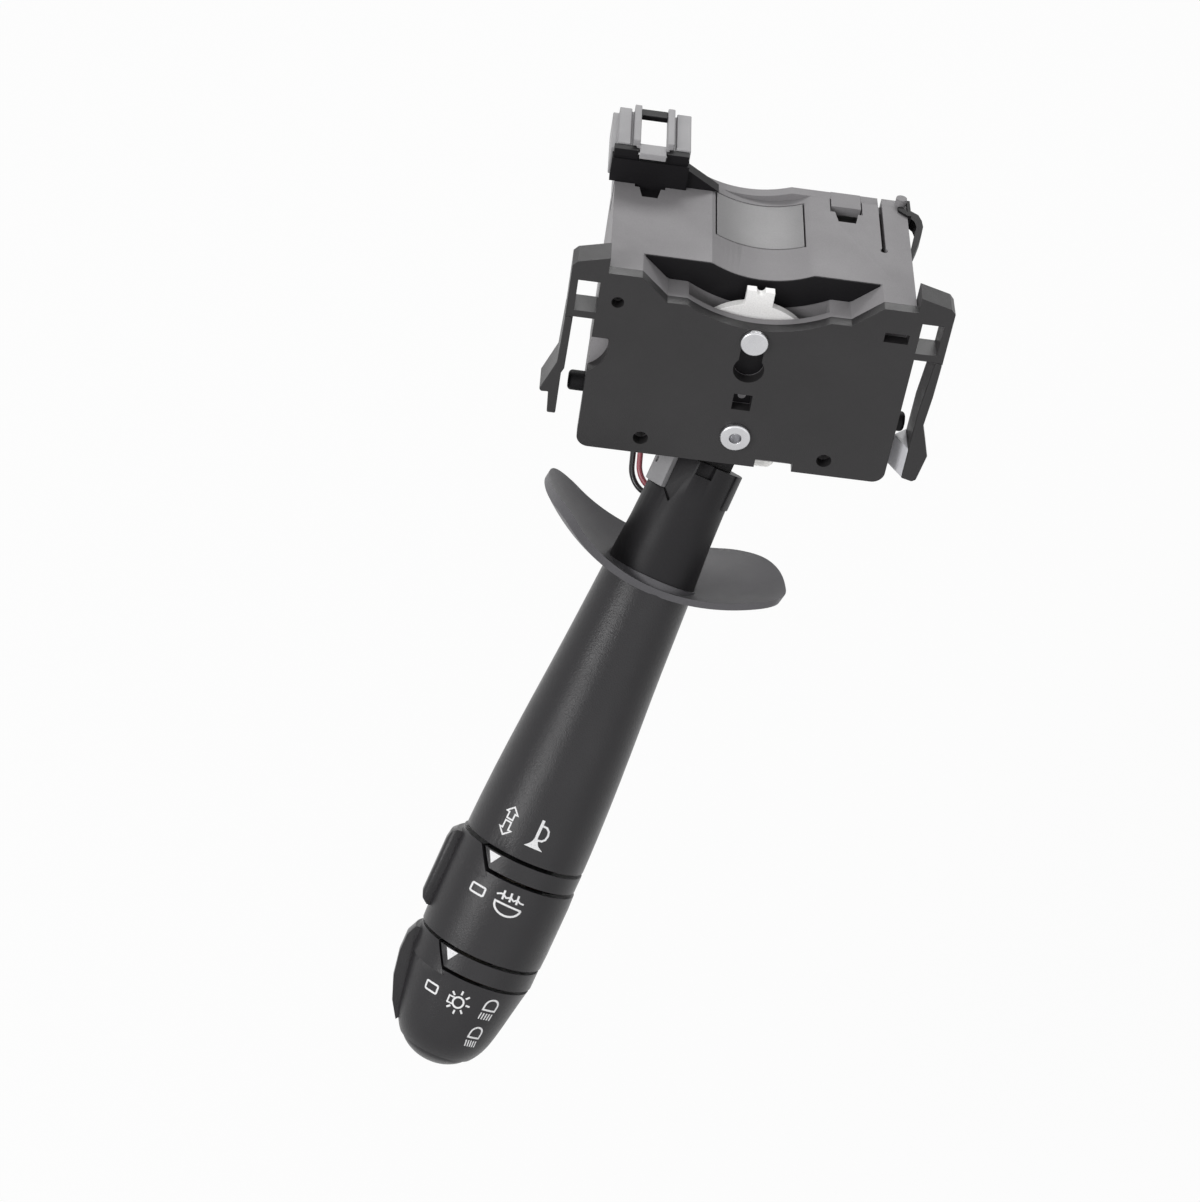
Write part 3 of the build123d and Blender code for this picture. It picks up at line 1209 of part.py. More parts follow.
# Two leads from the slider to the horn contact: out under the box, into the neck, down the tube
lead_route = [(1.4, -6.8, 10.6), (-9.5, -6.3, 4.0), (-14.2, -7.6, -2.8), (-14.4, -14.5, -8.5),
              (-16.4, -19.0, -13.0), (-17.3, -22.5, -17.5)]
lead_half_spacing = 0.72
flat_spread = Vector(0.37, 0, -0.62)
turning_spread = Vector(0.6, 0, -0.4)
hanging_spread = Vector(0.72, 0, 0.1)
lead_spreads = [flat_spread, flat_spread, turning_spread, hanging_spread, hanging_spread, hanging_spread]
hole_dir = radial(wire_hole_angle)
for lead_name, side in (("red_lead", 1), ("black_lead", -1)):
    level = stalk_dir * (wire_hole_distance - lead_half_spacing * side)
    lane = hole_dir * (-lead_half_spacing * side)
    corner = lever.origin + level + hole_dir * (13.0 - lead_half_spacing * side)
    inside = lever.origin + level + lane
    end = lever.origin + stalk_dir * horn_contact_start + lane
    points = [Vector(*place) + spread * side for place, spread in zip(lead_route, lead_spreads)]
    points += [corner, inside, end]
    radii = []
    for i in range(1, len(points) - 1):
        before = points[i] - points[i - 1]
        after = points[i + 1] - points[i]
        half_turn = radians(before.get_angle(after) / 2)
        shorter = min(before.length, after.length)
        radii.append(min(0.45 * shorter * cos(half_turn) / sin(half_turn), 12.0))
    radii[-1] = 3.7
    print(lead_name, "bend radii", [round(radius, 1) for radius in radii])
    with BuildPart() as lead:
        with BuildLine() as route:
            FilletPolyline(*points, radius=radii)
        with BuildSketch(Plane(origin=route.line @ 0, z_dir=route.line % 0)):
            Circle(wire_radius)
        sweep(path=route.line)
    lead.part.label = lead_name
    export_step(lead.part, "parts/" + lead_name + ".step")

# Lower arms of the snap clips: the left one ends in a barb, the right one in a broad foot
arm_middle = clip_outer - arm_thickness / 2
arm_inner = clip_outer - arm_thickness
left_arm = [(0, hinge_z), (0.3, 12.1), (3.0, 5.3), (2.6, 4.8), (1.2, 4.9), (0.9, 0.0), (-0.8, 0.0),
            (-0.8, 9.6), (-1.3, 10.8), (-arm_thickness, hinge_z)]
foot_depth = clip_outer - foot_inner
right_arm = [(0, hinge_z), (-0.1, 15.0), (-0.5, 8.0), (1.8, 0.8), (0.8, -5.3), (0, -5.8), (-foot_depth, -5.2),
             (-foot_depth, 11.0), (-arm_thickness, hinge_z)]
for clip_name, side, shape in (("left_clip", -1, left_arm), ("right_clip", 1, right_arm)):
    with BuildPart() as clip:
        outline = [(side * (clip_outer + out), z) for out, z in shape]
        extrude(polygon(facing(arm_back_height), outline), amount=front_height - arm_back_height)
        pin_towards_driver(side * arm_middle, hinge_z, arm_thickness / 2, (arm_back_height, front_height))
    clip.part.label = clip_name
    export_step(clip.part, "parts/" + clip_name + ".step")

# Pale pad on the inner face of the right foot, wedge-shaped towards the box
with BuildPart() as clip_pad:
    pad_plane = Plane(origin=(0, 0, pad_low), z_dir=(0, 0, 1))
    pad_points = [(foot_inner, -front_height), (foot_inner - pad_depth, -clip_back_height - 1.0),
                  (foot_inner, -arm_back_height)]
    extrude(polygon(pad_plane, pad_points), amount=pad_high - pad_low)
clip_pad.part.label = "clip_pad"
export_step(clip_pad.part, "parts/clip_pad.step")

# Thin hook on the right side near the rear corner, standing off the wall
with BuildPart() as corner_hook:
    hook_plane = Plane(origin=(body_half_width, 0, 29.8), z_dir=(0, 0, 1))
    hook_points = [(0, -0.2), (0.8, -0.2), (2.8, -1.8), (3.4, -3.9), (3.5, -6.1), (2.8, -10.0), (2.0, -13.1),
                   (0, -20.0), (0, -18.0), (1.0, -12.5), (1.6, -9.0), (2.1, -6.4), (1.8, -4.6), (1.0, -3.4),
                   (0, -3.0)]
    extrude(polygon(hook_plane, hook_points), amount=2.4)
    block((body_half_width, body_half_width + 0.7), (0.2, 6.0), (32.2, body_top + 0.5))
    strand = [(-1.9, -3.0), (-0.7, -3.0), (0, -4.4), (0, -6.0), (-0.8, -5.4), (-1.9, -4.3)]
    top_plane = Plane(origin=(body_half_width, 0, body_top), z_dir=(0, 0, 1))
    extrude(polygon(top_plane, strand), amount=0.5)
corner_hook.part.label = "corner_hook"
export_step(corner_hook.part, "parts/corner_hook.step")
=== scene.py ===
"""Looks of the combination stalk switch: finishes, eased edges, printed signs and soft studio light."""

import json
from math import cos, pi, radians, sin

import bmesh
import bpy
from mathutils import Matrix, Vector
from mathutils.bvhtree import BVHTree


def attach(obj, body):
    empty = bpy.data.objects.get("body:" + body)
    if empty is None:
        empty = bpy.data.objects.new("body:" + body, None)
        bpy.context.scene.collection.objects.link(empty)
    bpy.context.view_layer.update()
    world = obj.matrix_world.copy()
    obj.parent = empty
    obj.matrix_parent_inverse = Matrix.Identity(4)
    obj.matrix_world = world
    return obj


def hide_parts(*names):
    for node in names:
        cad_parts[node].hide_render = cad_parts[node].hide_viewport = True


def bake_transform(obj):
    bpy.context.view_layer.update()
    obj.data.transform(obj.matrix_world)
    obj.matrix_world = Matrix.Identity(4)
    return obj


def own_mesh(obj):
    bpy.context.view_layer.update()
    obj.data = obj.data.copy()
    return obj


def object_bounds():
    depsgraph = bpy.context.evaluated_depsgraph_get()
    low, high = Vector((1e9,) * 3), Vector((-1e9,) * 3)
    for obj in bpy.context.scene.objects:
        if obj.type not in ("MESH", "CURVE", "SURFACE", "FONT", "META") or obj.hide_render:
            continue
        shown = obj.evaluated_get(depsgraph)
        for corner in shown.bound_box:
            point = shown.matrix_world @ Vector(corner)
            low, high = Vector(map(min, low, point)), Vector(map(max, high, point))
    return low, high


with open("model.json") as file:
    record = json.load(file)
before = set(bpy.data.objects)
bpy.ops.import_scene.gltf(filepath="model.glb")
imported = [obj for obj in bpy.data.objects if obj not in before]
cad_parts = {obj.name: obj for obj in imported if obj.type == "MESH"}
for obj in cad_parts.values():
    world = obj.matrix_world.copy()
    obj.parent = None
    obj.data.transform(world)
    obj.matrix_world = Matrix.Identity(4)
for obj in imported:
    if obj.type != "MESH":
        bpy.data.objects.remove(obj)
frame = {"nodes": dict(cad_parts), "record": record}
cad_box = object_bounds()
record = frame["record"]
MM = 0.001

body_of = {node: body for body, nodes in record["behaviour"]["bodies"].items() for node in nodes}
slot_of = {entry["node"]: entry["material_slot"] for entry in record["subparts"]}


# Camera at the photograph's viewpoint
camera_place = Vector((-0.05056, -0.43747, 0.29010))
camera_azimuth = radians(-4.287)
camera_height = radians(40.177)
camera_roll = radians(9.717)


def aim_camera():
    """Put the camera at its place, looking down at the part and rolled about its view."""
    azimuth, height, roll = camera_azimuth, camera_height, camera_roll
    back = Vector((sin(azimuth) * cos(height), -cos(azimuth) * cos(height), sin(height)))
    right = (-back).cross(Vector((0, 0, 1))).normalized()
    down = (-back).cross(right)
    across = right * cos(roll) - down * sin(roll)
    drop = right * sin(roll) + down * cos(roll)
    data = bpy.data.cameras.new("studio_camera")
    data.lens = 75
    data.sensor_width = 36
    data.clip_end = 20
    camera = bpy.data.objects.new("studio_camera", data)
    turn = Matrix((across, -drop, back)).transposed().to_4x4()
    camera.matrix_world = Matrix.Translation(camera_place) @ turn
    bpy.context.collection.objects.link(camera)
    bpy.context.scene.camera = camera


aim_camera()


# Colours and node building
def linear(code):
    """Turn a written colour code into the linear colour that a shader takes."""
    parts = [int(code[i:i + 2], 16) / 255 for i in (0, 2, 4)]
    return tuple(c / 12.92 if c <= 0.04045 else ((c + 0.055) / 1.055) ** 2.4 for c in parts) + (1,)


def put(tree, kind, settings=None, **inputs):
    """Add a node, with its settings, and with each input set to a value or joined to a socket."""
    node = tree.nodes.new(kind)
    for name, value in (settings or {}).items():
        setattr(node, name, value)
    for name, value in inputs.items():
        socket = node.inputs[int(name[1:])] if name[0] == "i" and name[1:].isdigit() else \
            node.inputs[name.replace("_", " ")]
        if isinstance(value, bpy.types.NodeSocket):
            tree.links.new(value, socket)
        else:
            socket.default_value = value
    return node


def blank(name):
    """New material with an empty node tree and its output."""
    material = bpy.data.materials.new(name)
    material.use_nodes = True
    material.node_tree.nodes.clear()
    return material, material.node_tree


def shade_ramp(tree, factor, low, high, colour_low, colour_high):
    """Colour ramp between two colours over a part of a pattern's range."""
    ramp = put(tree, "ShaderNodeValToRGB", Fac=factor)
    ramp.color_ramp.elements[0].position = low
    ramp.color_ramp.elements[0].color = colour_low
    ramp.color_ramp.elements[1].position = high
    ramp.color_ramp.elements[1].color = colour_high
    return ramp.outputs["Color"]


def spread(tree, factor, low, high):
    """Spread a pattern's middle range over the values from low to high."""
    return put(tree, "ShaderNodeMapRange", Value=factor, From_Min=0.3, From_Max=0.7,
               To_Min=low, To_Max=high).outputs["Result"]


def moulded(name, colour, shade, grain, depth, rough, gloss=0.5, clouds=60, coat=0.0):
    """Injection moulded plastic: slow clouds in its colour and a fine spark-eroded grain."""
    material, tree = blank(name)
    place = put(tree, "ShaderNodeTexCoord").outputs["Object"]
    cloud = put(tree, "ShaderNodeTexNoise", Vector=place, Scale=clouds, Detail=4.0, Roughness=0.6)
    fine = put(tree, "ShaderNodeTexNoise", Vector=place, Scale=1 / (grain * MM), Detail=2.0, Roughness=0.55)
    speck = put(tree, "ShaderNodeTexVoronoi", Vector=place, Scale=0.6 / (grain * MM))
    body = shade_ramp(tree, cloud.outputs["Fac"], 0.3, 0.7, linear(colour), linear(shade))
    specks = spread(tree, fine.outputs["Fac"], 0.93, 1.06)
    tinted = put(tree, "ShaderNodeVectorMath", {"operation": "MULTIPLY"}, i0=body, i1=specks)
    height = put(tree, "ShaderNodeMath", {"operation": "MULTIPLY_ADD"}, i0=speck.outputs["Distance"],
                 i1=0.5, i2=fine.outputs["Fac"])
    bump = put(tree, "ShaderNodeBump", Strength=depth, Distance=grain * MM * 0.5, Height=height.outputs[0])
    shader = put(tree, "ShaderNodeBsdfPrincipled", Base_Color=tinted.outputs[0],
                 Roughness=spread(tree, cloud.outputs["Fac"], rough - 0.05, rough + 0.05),
                 Normal=bump.outputs["Normal"], Specular_IOR_Level=gloss, Coat_Weight=coat,
                 Coat_Roughness=0.25)
    put(tree, "ShaderNodeOutputMaterial", Surface=shader.outputs[0])
    return material


def metal(name, colour, shade, rough, stretch, depth):
    """Bare metal with fine tool marks drawn out along one direction."""
    material, tree = blank(name)
    place = put(tree, "ShaderNodeTexCoord").outputs["Object"]
    drawn = put(tree, "ShaderNodeMapping", Vector=place, Scale=stretch)
    marks = put(tree, "ShaderNodeTexNoise", Vector=drawn.outputs[0], Scale=900.0, Detail=3.0)
    cloud = put(tree, "ShaderNodeTexNoise", Vector=place, Scale=220.0, Detail=3.0)
    tint = shade_ramp(tree, cloud.outputs["Fac"], 0.3, 0.7, linear(colour), linear(shade))
    bump = put(tree, "ShaderNodeBump", Strength=depth, Distance=0.00005, Height=marks.outputs["Fac"])
    shader = put(tree, "ShaderNodeBsdfPrincipled", Base_Color=tint, Metallic=1.0,
                 Roughness=spread(tree, marks.outputs["Fac"], rough - 0.06, rough + 0.06),
                 Normal=bump.outputs["Normal"])
    put(tree, "ShaderNodeOutputMaterial", Surface=shader.outputs[0])
    return material


def insulation(name, colour, shade):
    """Thin flexible wire insulation, slightly waxy, with faint extrusion lines."""
    material, tree = blank(name)
    place = put(tree, "ShaderNodeTexCoord").outputs["Object"]
    cloud = put(tree, "ShaderNodeTexNoise", Vector=place, Scale=350.0, Detail=2.0)
    tint = shade_ramp(tree, cloud.outputs["Fac"], 0.35, 0.65, linear(colour), linear(shade))
    bump = put(tree, "ShaderNodeBump", Strength=0.15, Distance=0.0001, Height=cloud.outputs["Fac"])
    shader = put(tree, "ShaderNodeBsdfPrincipled", Base_Color=tint,
                 Roughness=spread(tree, cloud.outputs["Fac"], 0.28, 0.38),
                 Normal=bump.outputs["Normal"], Coat_Weight=0.2, Coat_Roughness=0.3)
    put(tree, "ShaderNodeOutputMaterial", Surface=shader.outputs[0])
    return material


def printed(name, colour, shade):
    """Pad-printed ink, thin where it met the grain below it."""
    material, tree = blank(name)
    place = put(tree, "ShaderNodeTexCoord").outputs["Object"]
    grain = put(tree, "ShaderNodeTexNoise", Vector=place, Scale=4200.0, Detail=3.0)
    tint = shade_ramp(tree, grain.outputs["Fac"], 0.25, 0.5, linear(shade), linear(colour))
    shader = put(tree, "ShaderNodeBsdfPrincipled", Base_Color=tint,
                 Roughness=spread(tree, grain.outputs["Fac"], 0.5, 0.65))
    put(tree, "ShaderNodeOutputMaterial", Surface=shader.outputs[0])
    return material


finishes = {
    # light grey glass-filled nylon of the box, spark-eroded grain
    "housing_grey": moulded("grey_glass_filled_nylon", "8e8c8e", "888688", 0.16, 0.35, 0.5, 0.22),
    # smoother grey panel of the same nylon
    "lid_grey": moulded("pale_grey_nylon_panel", "868586", "807f80", 0.2, 0.15, 0.36, 0.28),
    # black glass-filled nylon of the front plate, with faint flow clouds
    "plate_black": moulded("black_glass_filled_nylon", "302f30", "2c2b2c", 0.14, 0.4, 0.38, 0.32),
    # soft black polyamide of the stalk, fine leather-like grain
    "stalk_black": moulded("soft_black_stalk_plastic", "2c2b2d", "29282a", 0.22, 0.45, 0.32, 0.28),
    # smooth black acetal of the stalk's root
    "neck_black": moulded("smooth_black_acetal", "232224", "201f21", 0.3, 0.1, 0.46, 0.2),
    # dark grey satin plastic of the finger shield
    "shield_grey": moulded("dark_grey_satin_plastic", "5a595c", "565558", 0.2, 0.25, 0.44, 0.3),
    # pale grey polyester of the connector shell
    "connector_grey": moulded("pale_grey_polyester", "a3a2a4", "9b9a9c", 0.14, 0.4, 0.5, 0.35),
    # deep black polyester of the connector base and small pegs, also used as painted shade on the sheets in
    # the keyhole and the key square
    "connector_black": moulded("deep_black_polyester_and_painted_shade", "19181a", "171618", 0.16, 0.3, 0.5, 0.15),
    # uncoloured acetal of the cancelling cam
    "cam_natural": moulded("natural_white_acetal", "faf9f8", "f6f5f4", 0.3, 0.1, 0.34, coat=0.1),
    # pale smooth acetal pad
    "pad_pale": moulded("pale_grey_acetal", "d2d2d6", "cacace", 0.3, 0.1, 0.36),
    # turned bright steel of pins, screws and the rivet
    "pin_steel": metal("turned_bright_steel", "d2d2d4", "c4c4c7", 0.3, (1, 0.08, 1), 0.3),
    # hard-drawn spring steel wire
    "spring_steel": metal("drawn_spring_steel", "bcbcbe", "a9a9ac", 0.28, (1, 1, 0.2), 0.2),
    # stamped contact brass
    "contact_brass": metal("stamped_contact_brass", "d8b870", "c9a55c", 0.32, (1, 0.2, 1), 0.25),
    # brown laminated paper board of the contacts
    "board_brown": moulded("brown_laminate_board", "8a6438", "7d5a32", 0.25, 0.3, 0.5),
    # natural yellowish nylon of the yoke and the detent track
    "yoke_natural": moulded("natural_cream_nylon", "ddd6c4", "d4ccb8", 0.25, 0.2, 0.4),
    # red lead's soft insulation
    "red_wire": insulation("red_soft_insulation", "a04650", "b0606a"),
    # black lead's soft insulation
    "black_wire": insulation("black_soft_insulation", "2b2a2c", "333234"),
    # grey nylon of the cable clip
    "clip_grey": moulded("light_grey_clip_nylon", "9c9b9d", "959496", 0.2, 0.2, 0.44, 0.35),
    # white soft rubber of the stop buffer
    "buffer_white": moulded("white_soft_rubber", "efeeec", "e6e5e2", 0.3, 0.2, 0.6),
}
ink = printed("white_printing_ink", "e9e9ea", "c4c4c6")


def paint(piece, slot):
    """Give a piece the finish of one of the record's slots."""
    piece.data.materials.clear()
    piece.data.materials.append(finishes[slot])


for node, thing in frame["nodes"].items():
    for entry in thing.material_slots:
        entry.material = finishes[slot_of[node]]


# Moulded and turned pieces with eased edges
sharp_angle = radians(32)
flat_angle = radians(0.8)
weld_distance = 2e-6


def eased(node, ease, body=None):
    """Copy a node's shape, ease its sharp edges by a small radius and shade its curves smooth."""
    source = frame["nodes"][node]
    mesh = source.data.copy()
    shape = bmesh.new()
    shape.from_mesh(mesh)
    bmesh.ops.remove_doubles(shape, verts=shape.verts, dist=weld_distance)
    bmesh.ops.dissolve_degenerate(shape, edges=shape.edges, dist=weld_distance)
    bmesh.ops.dissolve_limit(shape, angle_limit=flat_angle, verts=shape.verts, edges=shape.edges,
                             use_dissolve_boundaries=False)
    shape.to_mesh(mesh)
    shape.free()
    mesh.polygons.foreach_set("use_smooth", [True] * len(mesh.polygons))
    mesh.set_sharp_from_angle(angle=sharp_angle)
    piece = bpy.data.objects.new(node + "_eased", mesh)
    bpy.context.collection.objects.link(piece)
    if ease:
        bevel = piece.modifiers.new("eased_edges", "BEVEL")
        bevel.width = ease * MM
        bevel.segments = 2
        bevel.limit_method = "ANGLE"
        bevel.angle_limit = sharp_angle
        bevel.use_clamp_overlap = True
        bevel.harden_normals = True
    paint(piece, slot_of[node])
    if body is None:
        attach(piece, body_of[node])
    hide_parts(node)
    return piece


edge_radii = {
    "housing": 0.3, "front_plate": 0.3, "scoop_lid": 0.15, "rear_cover": 0.25,
    "connector_shell": 0.2, "connector_base": 0.12, "connector_lock_bar": 0.15, "corner_hook": 0.15,
    "left_clip": 0.25, "right_clip": 0.25, "clip_pad": 0.15, "side_pegs": 0.0,
    "cancel_cam": 0.15, "cam_pin": 0.1, "pivot_rivet": 0.12, "turn_stop_buffer": 0.15,
    "neck": 0.2, "wire_clip": 0.15, "finger_shield": 0.25, "stalk_shell": 0.12,
    "fog_pointer_band": 0.08, "light_pointer_band": 0.08, "fog_ring": 0.12, "light_ring": 0.12,
    "horn_button": 0.1, "turn_yoke": 0.2, "rear_cover_screws": 0.08, "detent_plunger": 0.0,
    "detent_track": 0.1, "contact_board": 0.0, "inner_tube": 0.1, "cross_pin": 0.0,
    "cancel_spring": 0.0, "detent_spring": 0.0, "pull_spring": 0.0, "horn_spring": 0.0,
    "horn_contact": 0.0, "turn_contact_slider": 0.0, "connector_terminals": 0.0,
}
for node, radius in edge_radii.items():
    eased(node, radius)

# The two leads bend between the yoke, where they start, and the stalk
for node in ("red_lead", "black_lead"):
    lead = eased(node, 0.0, body="both")
    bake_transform(lead)

# Frame of the stalk's surface: distance down the stalk and angle round it from its front
stalk_origin = Vector((1.25, -20, 0)) * MM
stalk_down = Vector((-0.2919, -0.5, -0.8153)).normalized()
stalk_right = Vector((0.9415, 0, -0.3371)).normalized()
stalk_front = stalk_right.cross(stalk_down).normalized() * -1
far_out = 20.0


def shorten(node):
    """Give a spring's eased copy a mesh of its own; the spring is not shortened here."""
    spring = bpy.data.objects[node + "_eased"]
    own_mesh(spring)


shorten("horn_spring")
shorten("detent_spring")


# Printed signs, laid on the stalk as thin closed solids
print_radius = 13.0
ink_top = 0.035
ink_foot = -0.05


def surface_of(node):
    """Search tree of a node's surface, to lay prints on."""
    mesh = frame["nodes"][node].data
    return BVHTree.FromPolygons([v.co for v in mesh.vertices], [p.vertices for p in mesh.polygons])


def on_stalk(surface, centre, angle, u, v, lift):
    """Point of the stalk's surface u millimetres round and v towards the root from a print's centre."""
    axis_point = stalk_origin + stalk_down * (centre - v) * MM
    turn = radians(angle) + u / print_radius
    out = stalk_front * cos(turn) + stalk_right * sin(turn)
    found = surface.ray_cast(axis_point + out * far_out * MM, -out)[0]
    if found is None:
        raise ValueError("print outside the stalk's surface")
    return found + out * lift * MM


def ribbon(shape, place, points, width, closed=False):
    """Printed line of one width along points, as a thin closed solid laid on the stalk."""
    count = len(points)
    fine = []
    for i in range(count if closed else count - 1):
        a, b = Vector(points[i]), Vector(points[(i + 1) % count])
        steps = max(1, round((b - a).length / 0.6))
        fine += [a.lerp(b, k / steps) for k in range(steps)]
    if not closed:
        fine.append(Vector(points[-1]))
    sides = []
    for i, p in enumerate(fine):
        before = fine[i - 1] if i or closed else p
        after = fine[(i + 1) % len(fine)] if i + 1 < len(fine) or closed else p
        d1 = (p - before).normalized() if before != p else (after - p).normalized()
        d2 = (after - p).normalized() if after != p else d1
        mean = (d1 + d2).normalized()
        reach = width / 2 / max(0.55, mean.dot(d1))
        side = Vector((-mean.y, mean.x)) * reach
        sides.append((p + side, p - side))
    corners = [[shape.verts.new(on_stalk(*place, q.x, q.y, lift)) for q in pair
                for lift in (ink_top, ink_foot)] for pair in sides]
    pairs = list(zip(corners, corners[1:])) + ([(corners[-1], corners[0])] if closed else [])
    for a, b in pairs:
        for i, j in ((0, 1), (1, 3), (3, 2), (2, 0)):
            shape.faces.new((a[i], a[j], b[j], b[i]))
    if not closed:
        shape.faces.new([corners[0][i] for i in (0, 2, 3, 1)])
        shape.faces.new([corners[-1][i] for i in (0, 1, 3, 2)])


def filled(shape, place, rows):
    """Printed area given as rows of (v, left u, right u), as a thin closed solid."""
    columns = 5
    layers = []
    for lift in (ink_top, ink_foot):
        grid = [[shape.verts.new(on_stalk(*place, left + (right - left) * k / columns, v, lift))
                 for k in range(columns + 1)] for v, left, right in rows]
        layers.append(grid)
    top, low = layers
    for grid in layers:
        for row, following in zip(grid, grid[1:]):
            for k in range(columns):
                shape.faces.new((row[k], row[k + 1], following[k + 1], following[k]))
    rim = [(0, k) for k in range(columns)] + [(r, columns) for r in range(len(rows) - 1)]
    rim += [(len(rows) - 1, k) for k in range(columns, 0, -1)] + [(r, 0) for r in range(len(rows) - 1, 0, -1)]
    for (r1, k1), (r2, k2) in zip(rim, rim[1:] + rim[:1]):
        shape.faces.new((top[r1][k1], top[r2][k2], low[r2][k2], low[r1][k1]))


def arc(centre, radius, start, end, steps, squeeze=1.0):
    """Points of an arc between two angles, squeezed in its second direction."""
    turns = [radians(start + (end - start) * k / steps) for k in range(steps + 1)]
    return [(centre[0] + radius * cos(a), centre[1] + radius * squeeze * sin(a)) for a in turns]


def rows_between(low, high, count=4):
    """Rows between a lower and an upper row of (v, left u, right u)."""
    return [tuple(a + (b - a) * k / count for a, b in zip(low, high)) for k in range(count + 1)]


line = 0.42
thin = 0.34


def arrow_sign(shape, place):
    """Direction lamps: two hollow arrows that point away from each other."""
    for way, base in ((1, 0.45), (-1, 0.1)):
        outline = [(-1.0, base), (-1.0, 1.75), (-1.7, 1.75), (-0.3, 3.05), (1.1, 1.75), (0.4, 1.75),
                   (0.4, base)]
        ribbon(shape, place, [(u, way * v) for u, v in outline], thin, closed=True)


def horn_sign(shape, place):
    """Horn: a straight horn with a flared mouth and its loop."""
    ribbon(shape, place, [(-0.1, 3.6), (-0.1, -0.8)], 0.62)
    filled(shape, place, [(-0.7, -0.45, 0.4), (-1.2, -0.6, 0.6), (-1.8, -1.0, 0.95), (-2.2, -1.4, 1.5),
                          (-2.6, -1.9, 2.2)])
    ribbon(shape, place, [(0.2, 2.45), (1.1, 2.4), (1.75, 1.8), (1.95, 0.9), (1.75, 0.0), (1.2, -0.55),
                          (0.2, -0.7)], line)


def off_sign(shape, place):
    """Off position: a small hollow block with rounded corners."""
    corner = 0.3
    outline = []
    for u, v, start in ((1.4, 0.9, 0), (-1.7, 0.9, 90), (-1.7, -0.9, 180), (1.4, -0.9, 270)):
        middle = (u - corner * (1 if u > 0 else -1), v - corner * (1 if v > 0 else -1))
        outline += arc(middle, corner, start, start + 90, 3)
    ribbon(shape, place, outline, line, closed=True)


def fog_lamp_sign(shape, place):
    """Fog lamp: a lamp bowl, three beams and a wavy line across them."""
    bowl = [(-2.75, -0.35)] + arc((0, -0.55), 2.75, 180, 360, 12, 0.76) + [(2.75, -0.55)]
    ribbon(shape, place, bowl, line, closed=True)
    for u in (-1.65, -0.15, 1.3):
        ribbon(shape, place, [(u - 0.05, 2.35), (u + 0.05, 0.4)], line)
    ribbon(shape, place, [(-3.0, 1.05), (-2.2, 1.45), (-1.65, 1.45), (-0.95, 0.95), (-0.1, 1.4), (0.6, 0.9),
                          (1.3, 1.4), (2.0, 1.0), (2.8, 0.95)], thin)


def lamp_sign(shape, place):
    """Outer lamps: a round bulb with its foot and beams all round."""
    centre = (-0.1, 0.1)
    ribbon(shape, place, arc(centre, 1.2, 0, 345, 23), line, closed=True)
    for angle in (0, 48, 90, 137, -48, -90, -137):
        start, end = Vector((cos(radians(angle)), sin(radians(angle)))), 2.75
        ribbon(shape, place, [Vector(centre) + start * 1.8, Vector(centre) + start * end], line)
    ribbon(shape, place, [(-1.25, 0.85), (-2.45, 0.85), (-2.45, -0.65), (-1.25, -0.65)], thin)


def beam_sign(shape, place, centre, slant):
    """Main or dipped beam: a lamp bowl with beams that run straight or slant."""
    u0, v0 = centre
    bowl = [(u0 - 1.55, v0)] + [(u0 + 1.55 * cos(a), v0 + 1.1 + 1.5 * sin(a)) for a in
                                [pi - pi * k / 10 for k in range(11)]] + [(u0 + 1.55, v0)]
    ribbon(shape, place, bowl, line, closed=True)
    for k in range(5):
        u = u0 - 1.45 + 0.725 * k
        ribbon(shape, place, [(u, v0 - 0.75), (u + slant, v0 - 2.3)], 0.3)


def pointer_sign(shape, place):
    """Pointer of a band: a filled triangle that points down the stalk."""
    filled(shape, place, rows_between((-1.05, 0.4, 0.5), (1.15, -0.95, 1.85)))


def main_beam_sign(shape, place):
    """Main beam: the beams run straight."""
    beam_sign(shape, place, (-0.1, -0.05), 0.0)


def dipped_beam_sign(shape, place):
    """Dipped beam: the beams slant."""
    beam_sign(shape, place, (-0.6, 0.0), 0.5)


def print_signs(name, carrier, signs):
    """Make one piece of the signs that one part of the stalk carries."""
    shape = bmesh.new()
    surface = surface_of(carrier)
    for draw, centre, angle in signs:
        draw(shape, (surface, centre, angle))
    bmesh.ops.recalc_face_normals(shape, faces=shape.faces)
    mesh = bpy.data.meshes.new(name)
    shape.to_mesh(mesh)
    shape.free()
    piece = bpy.data.objects.new(name, mesh)
    bpy.context.collection.objects.link(piece)
    mesh.materials.append(ink)
    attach(piece, body_of[carrier])
    return piece


print_signs("shell_signs", "stalk_shell", [(arrow_sign, 100.7, -39.3), (horn_sign, 101.0, -10.6)])
print_signs("fog_ring_signs", "fog_ring", [(off_sign, 116.2, -38.8), (fog_lamp_sign, 116.1, -9.1)])
print_signs("light_ring_signs", "light_ring",
            [(off_sign, 139.4, -42.9), (lamp_sign, 139.8, -12.6), (main_beam_sign, 139.2, 19.9),
             (dipped_beam_sign, 146.2, 23.1)])
print_signs("fog_band_pointer", "fog_pointer_band", [(pointer_sign, 109.05, -41.1)])
print_signs("light_band_pointer", "light_pointer_band", [(pointer_sign, 131.2, -39.7)])
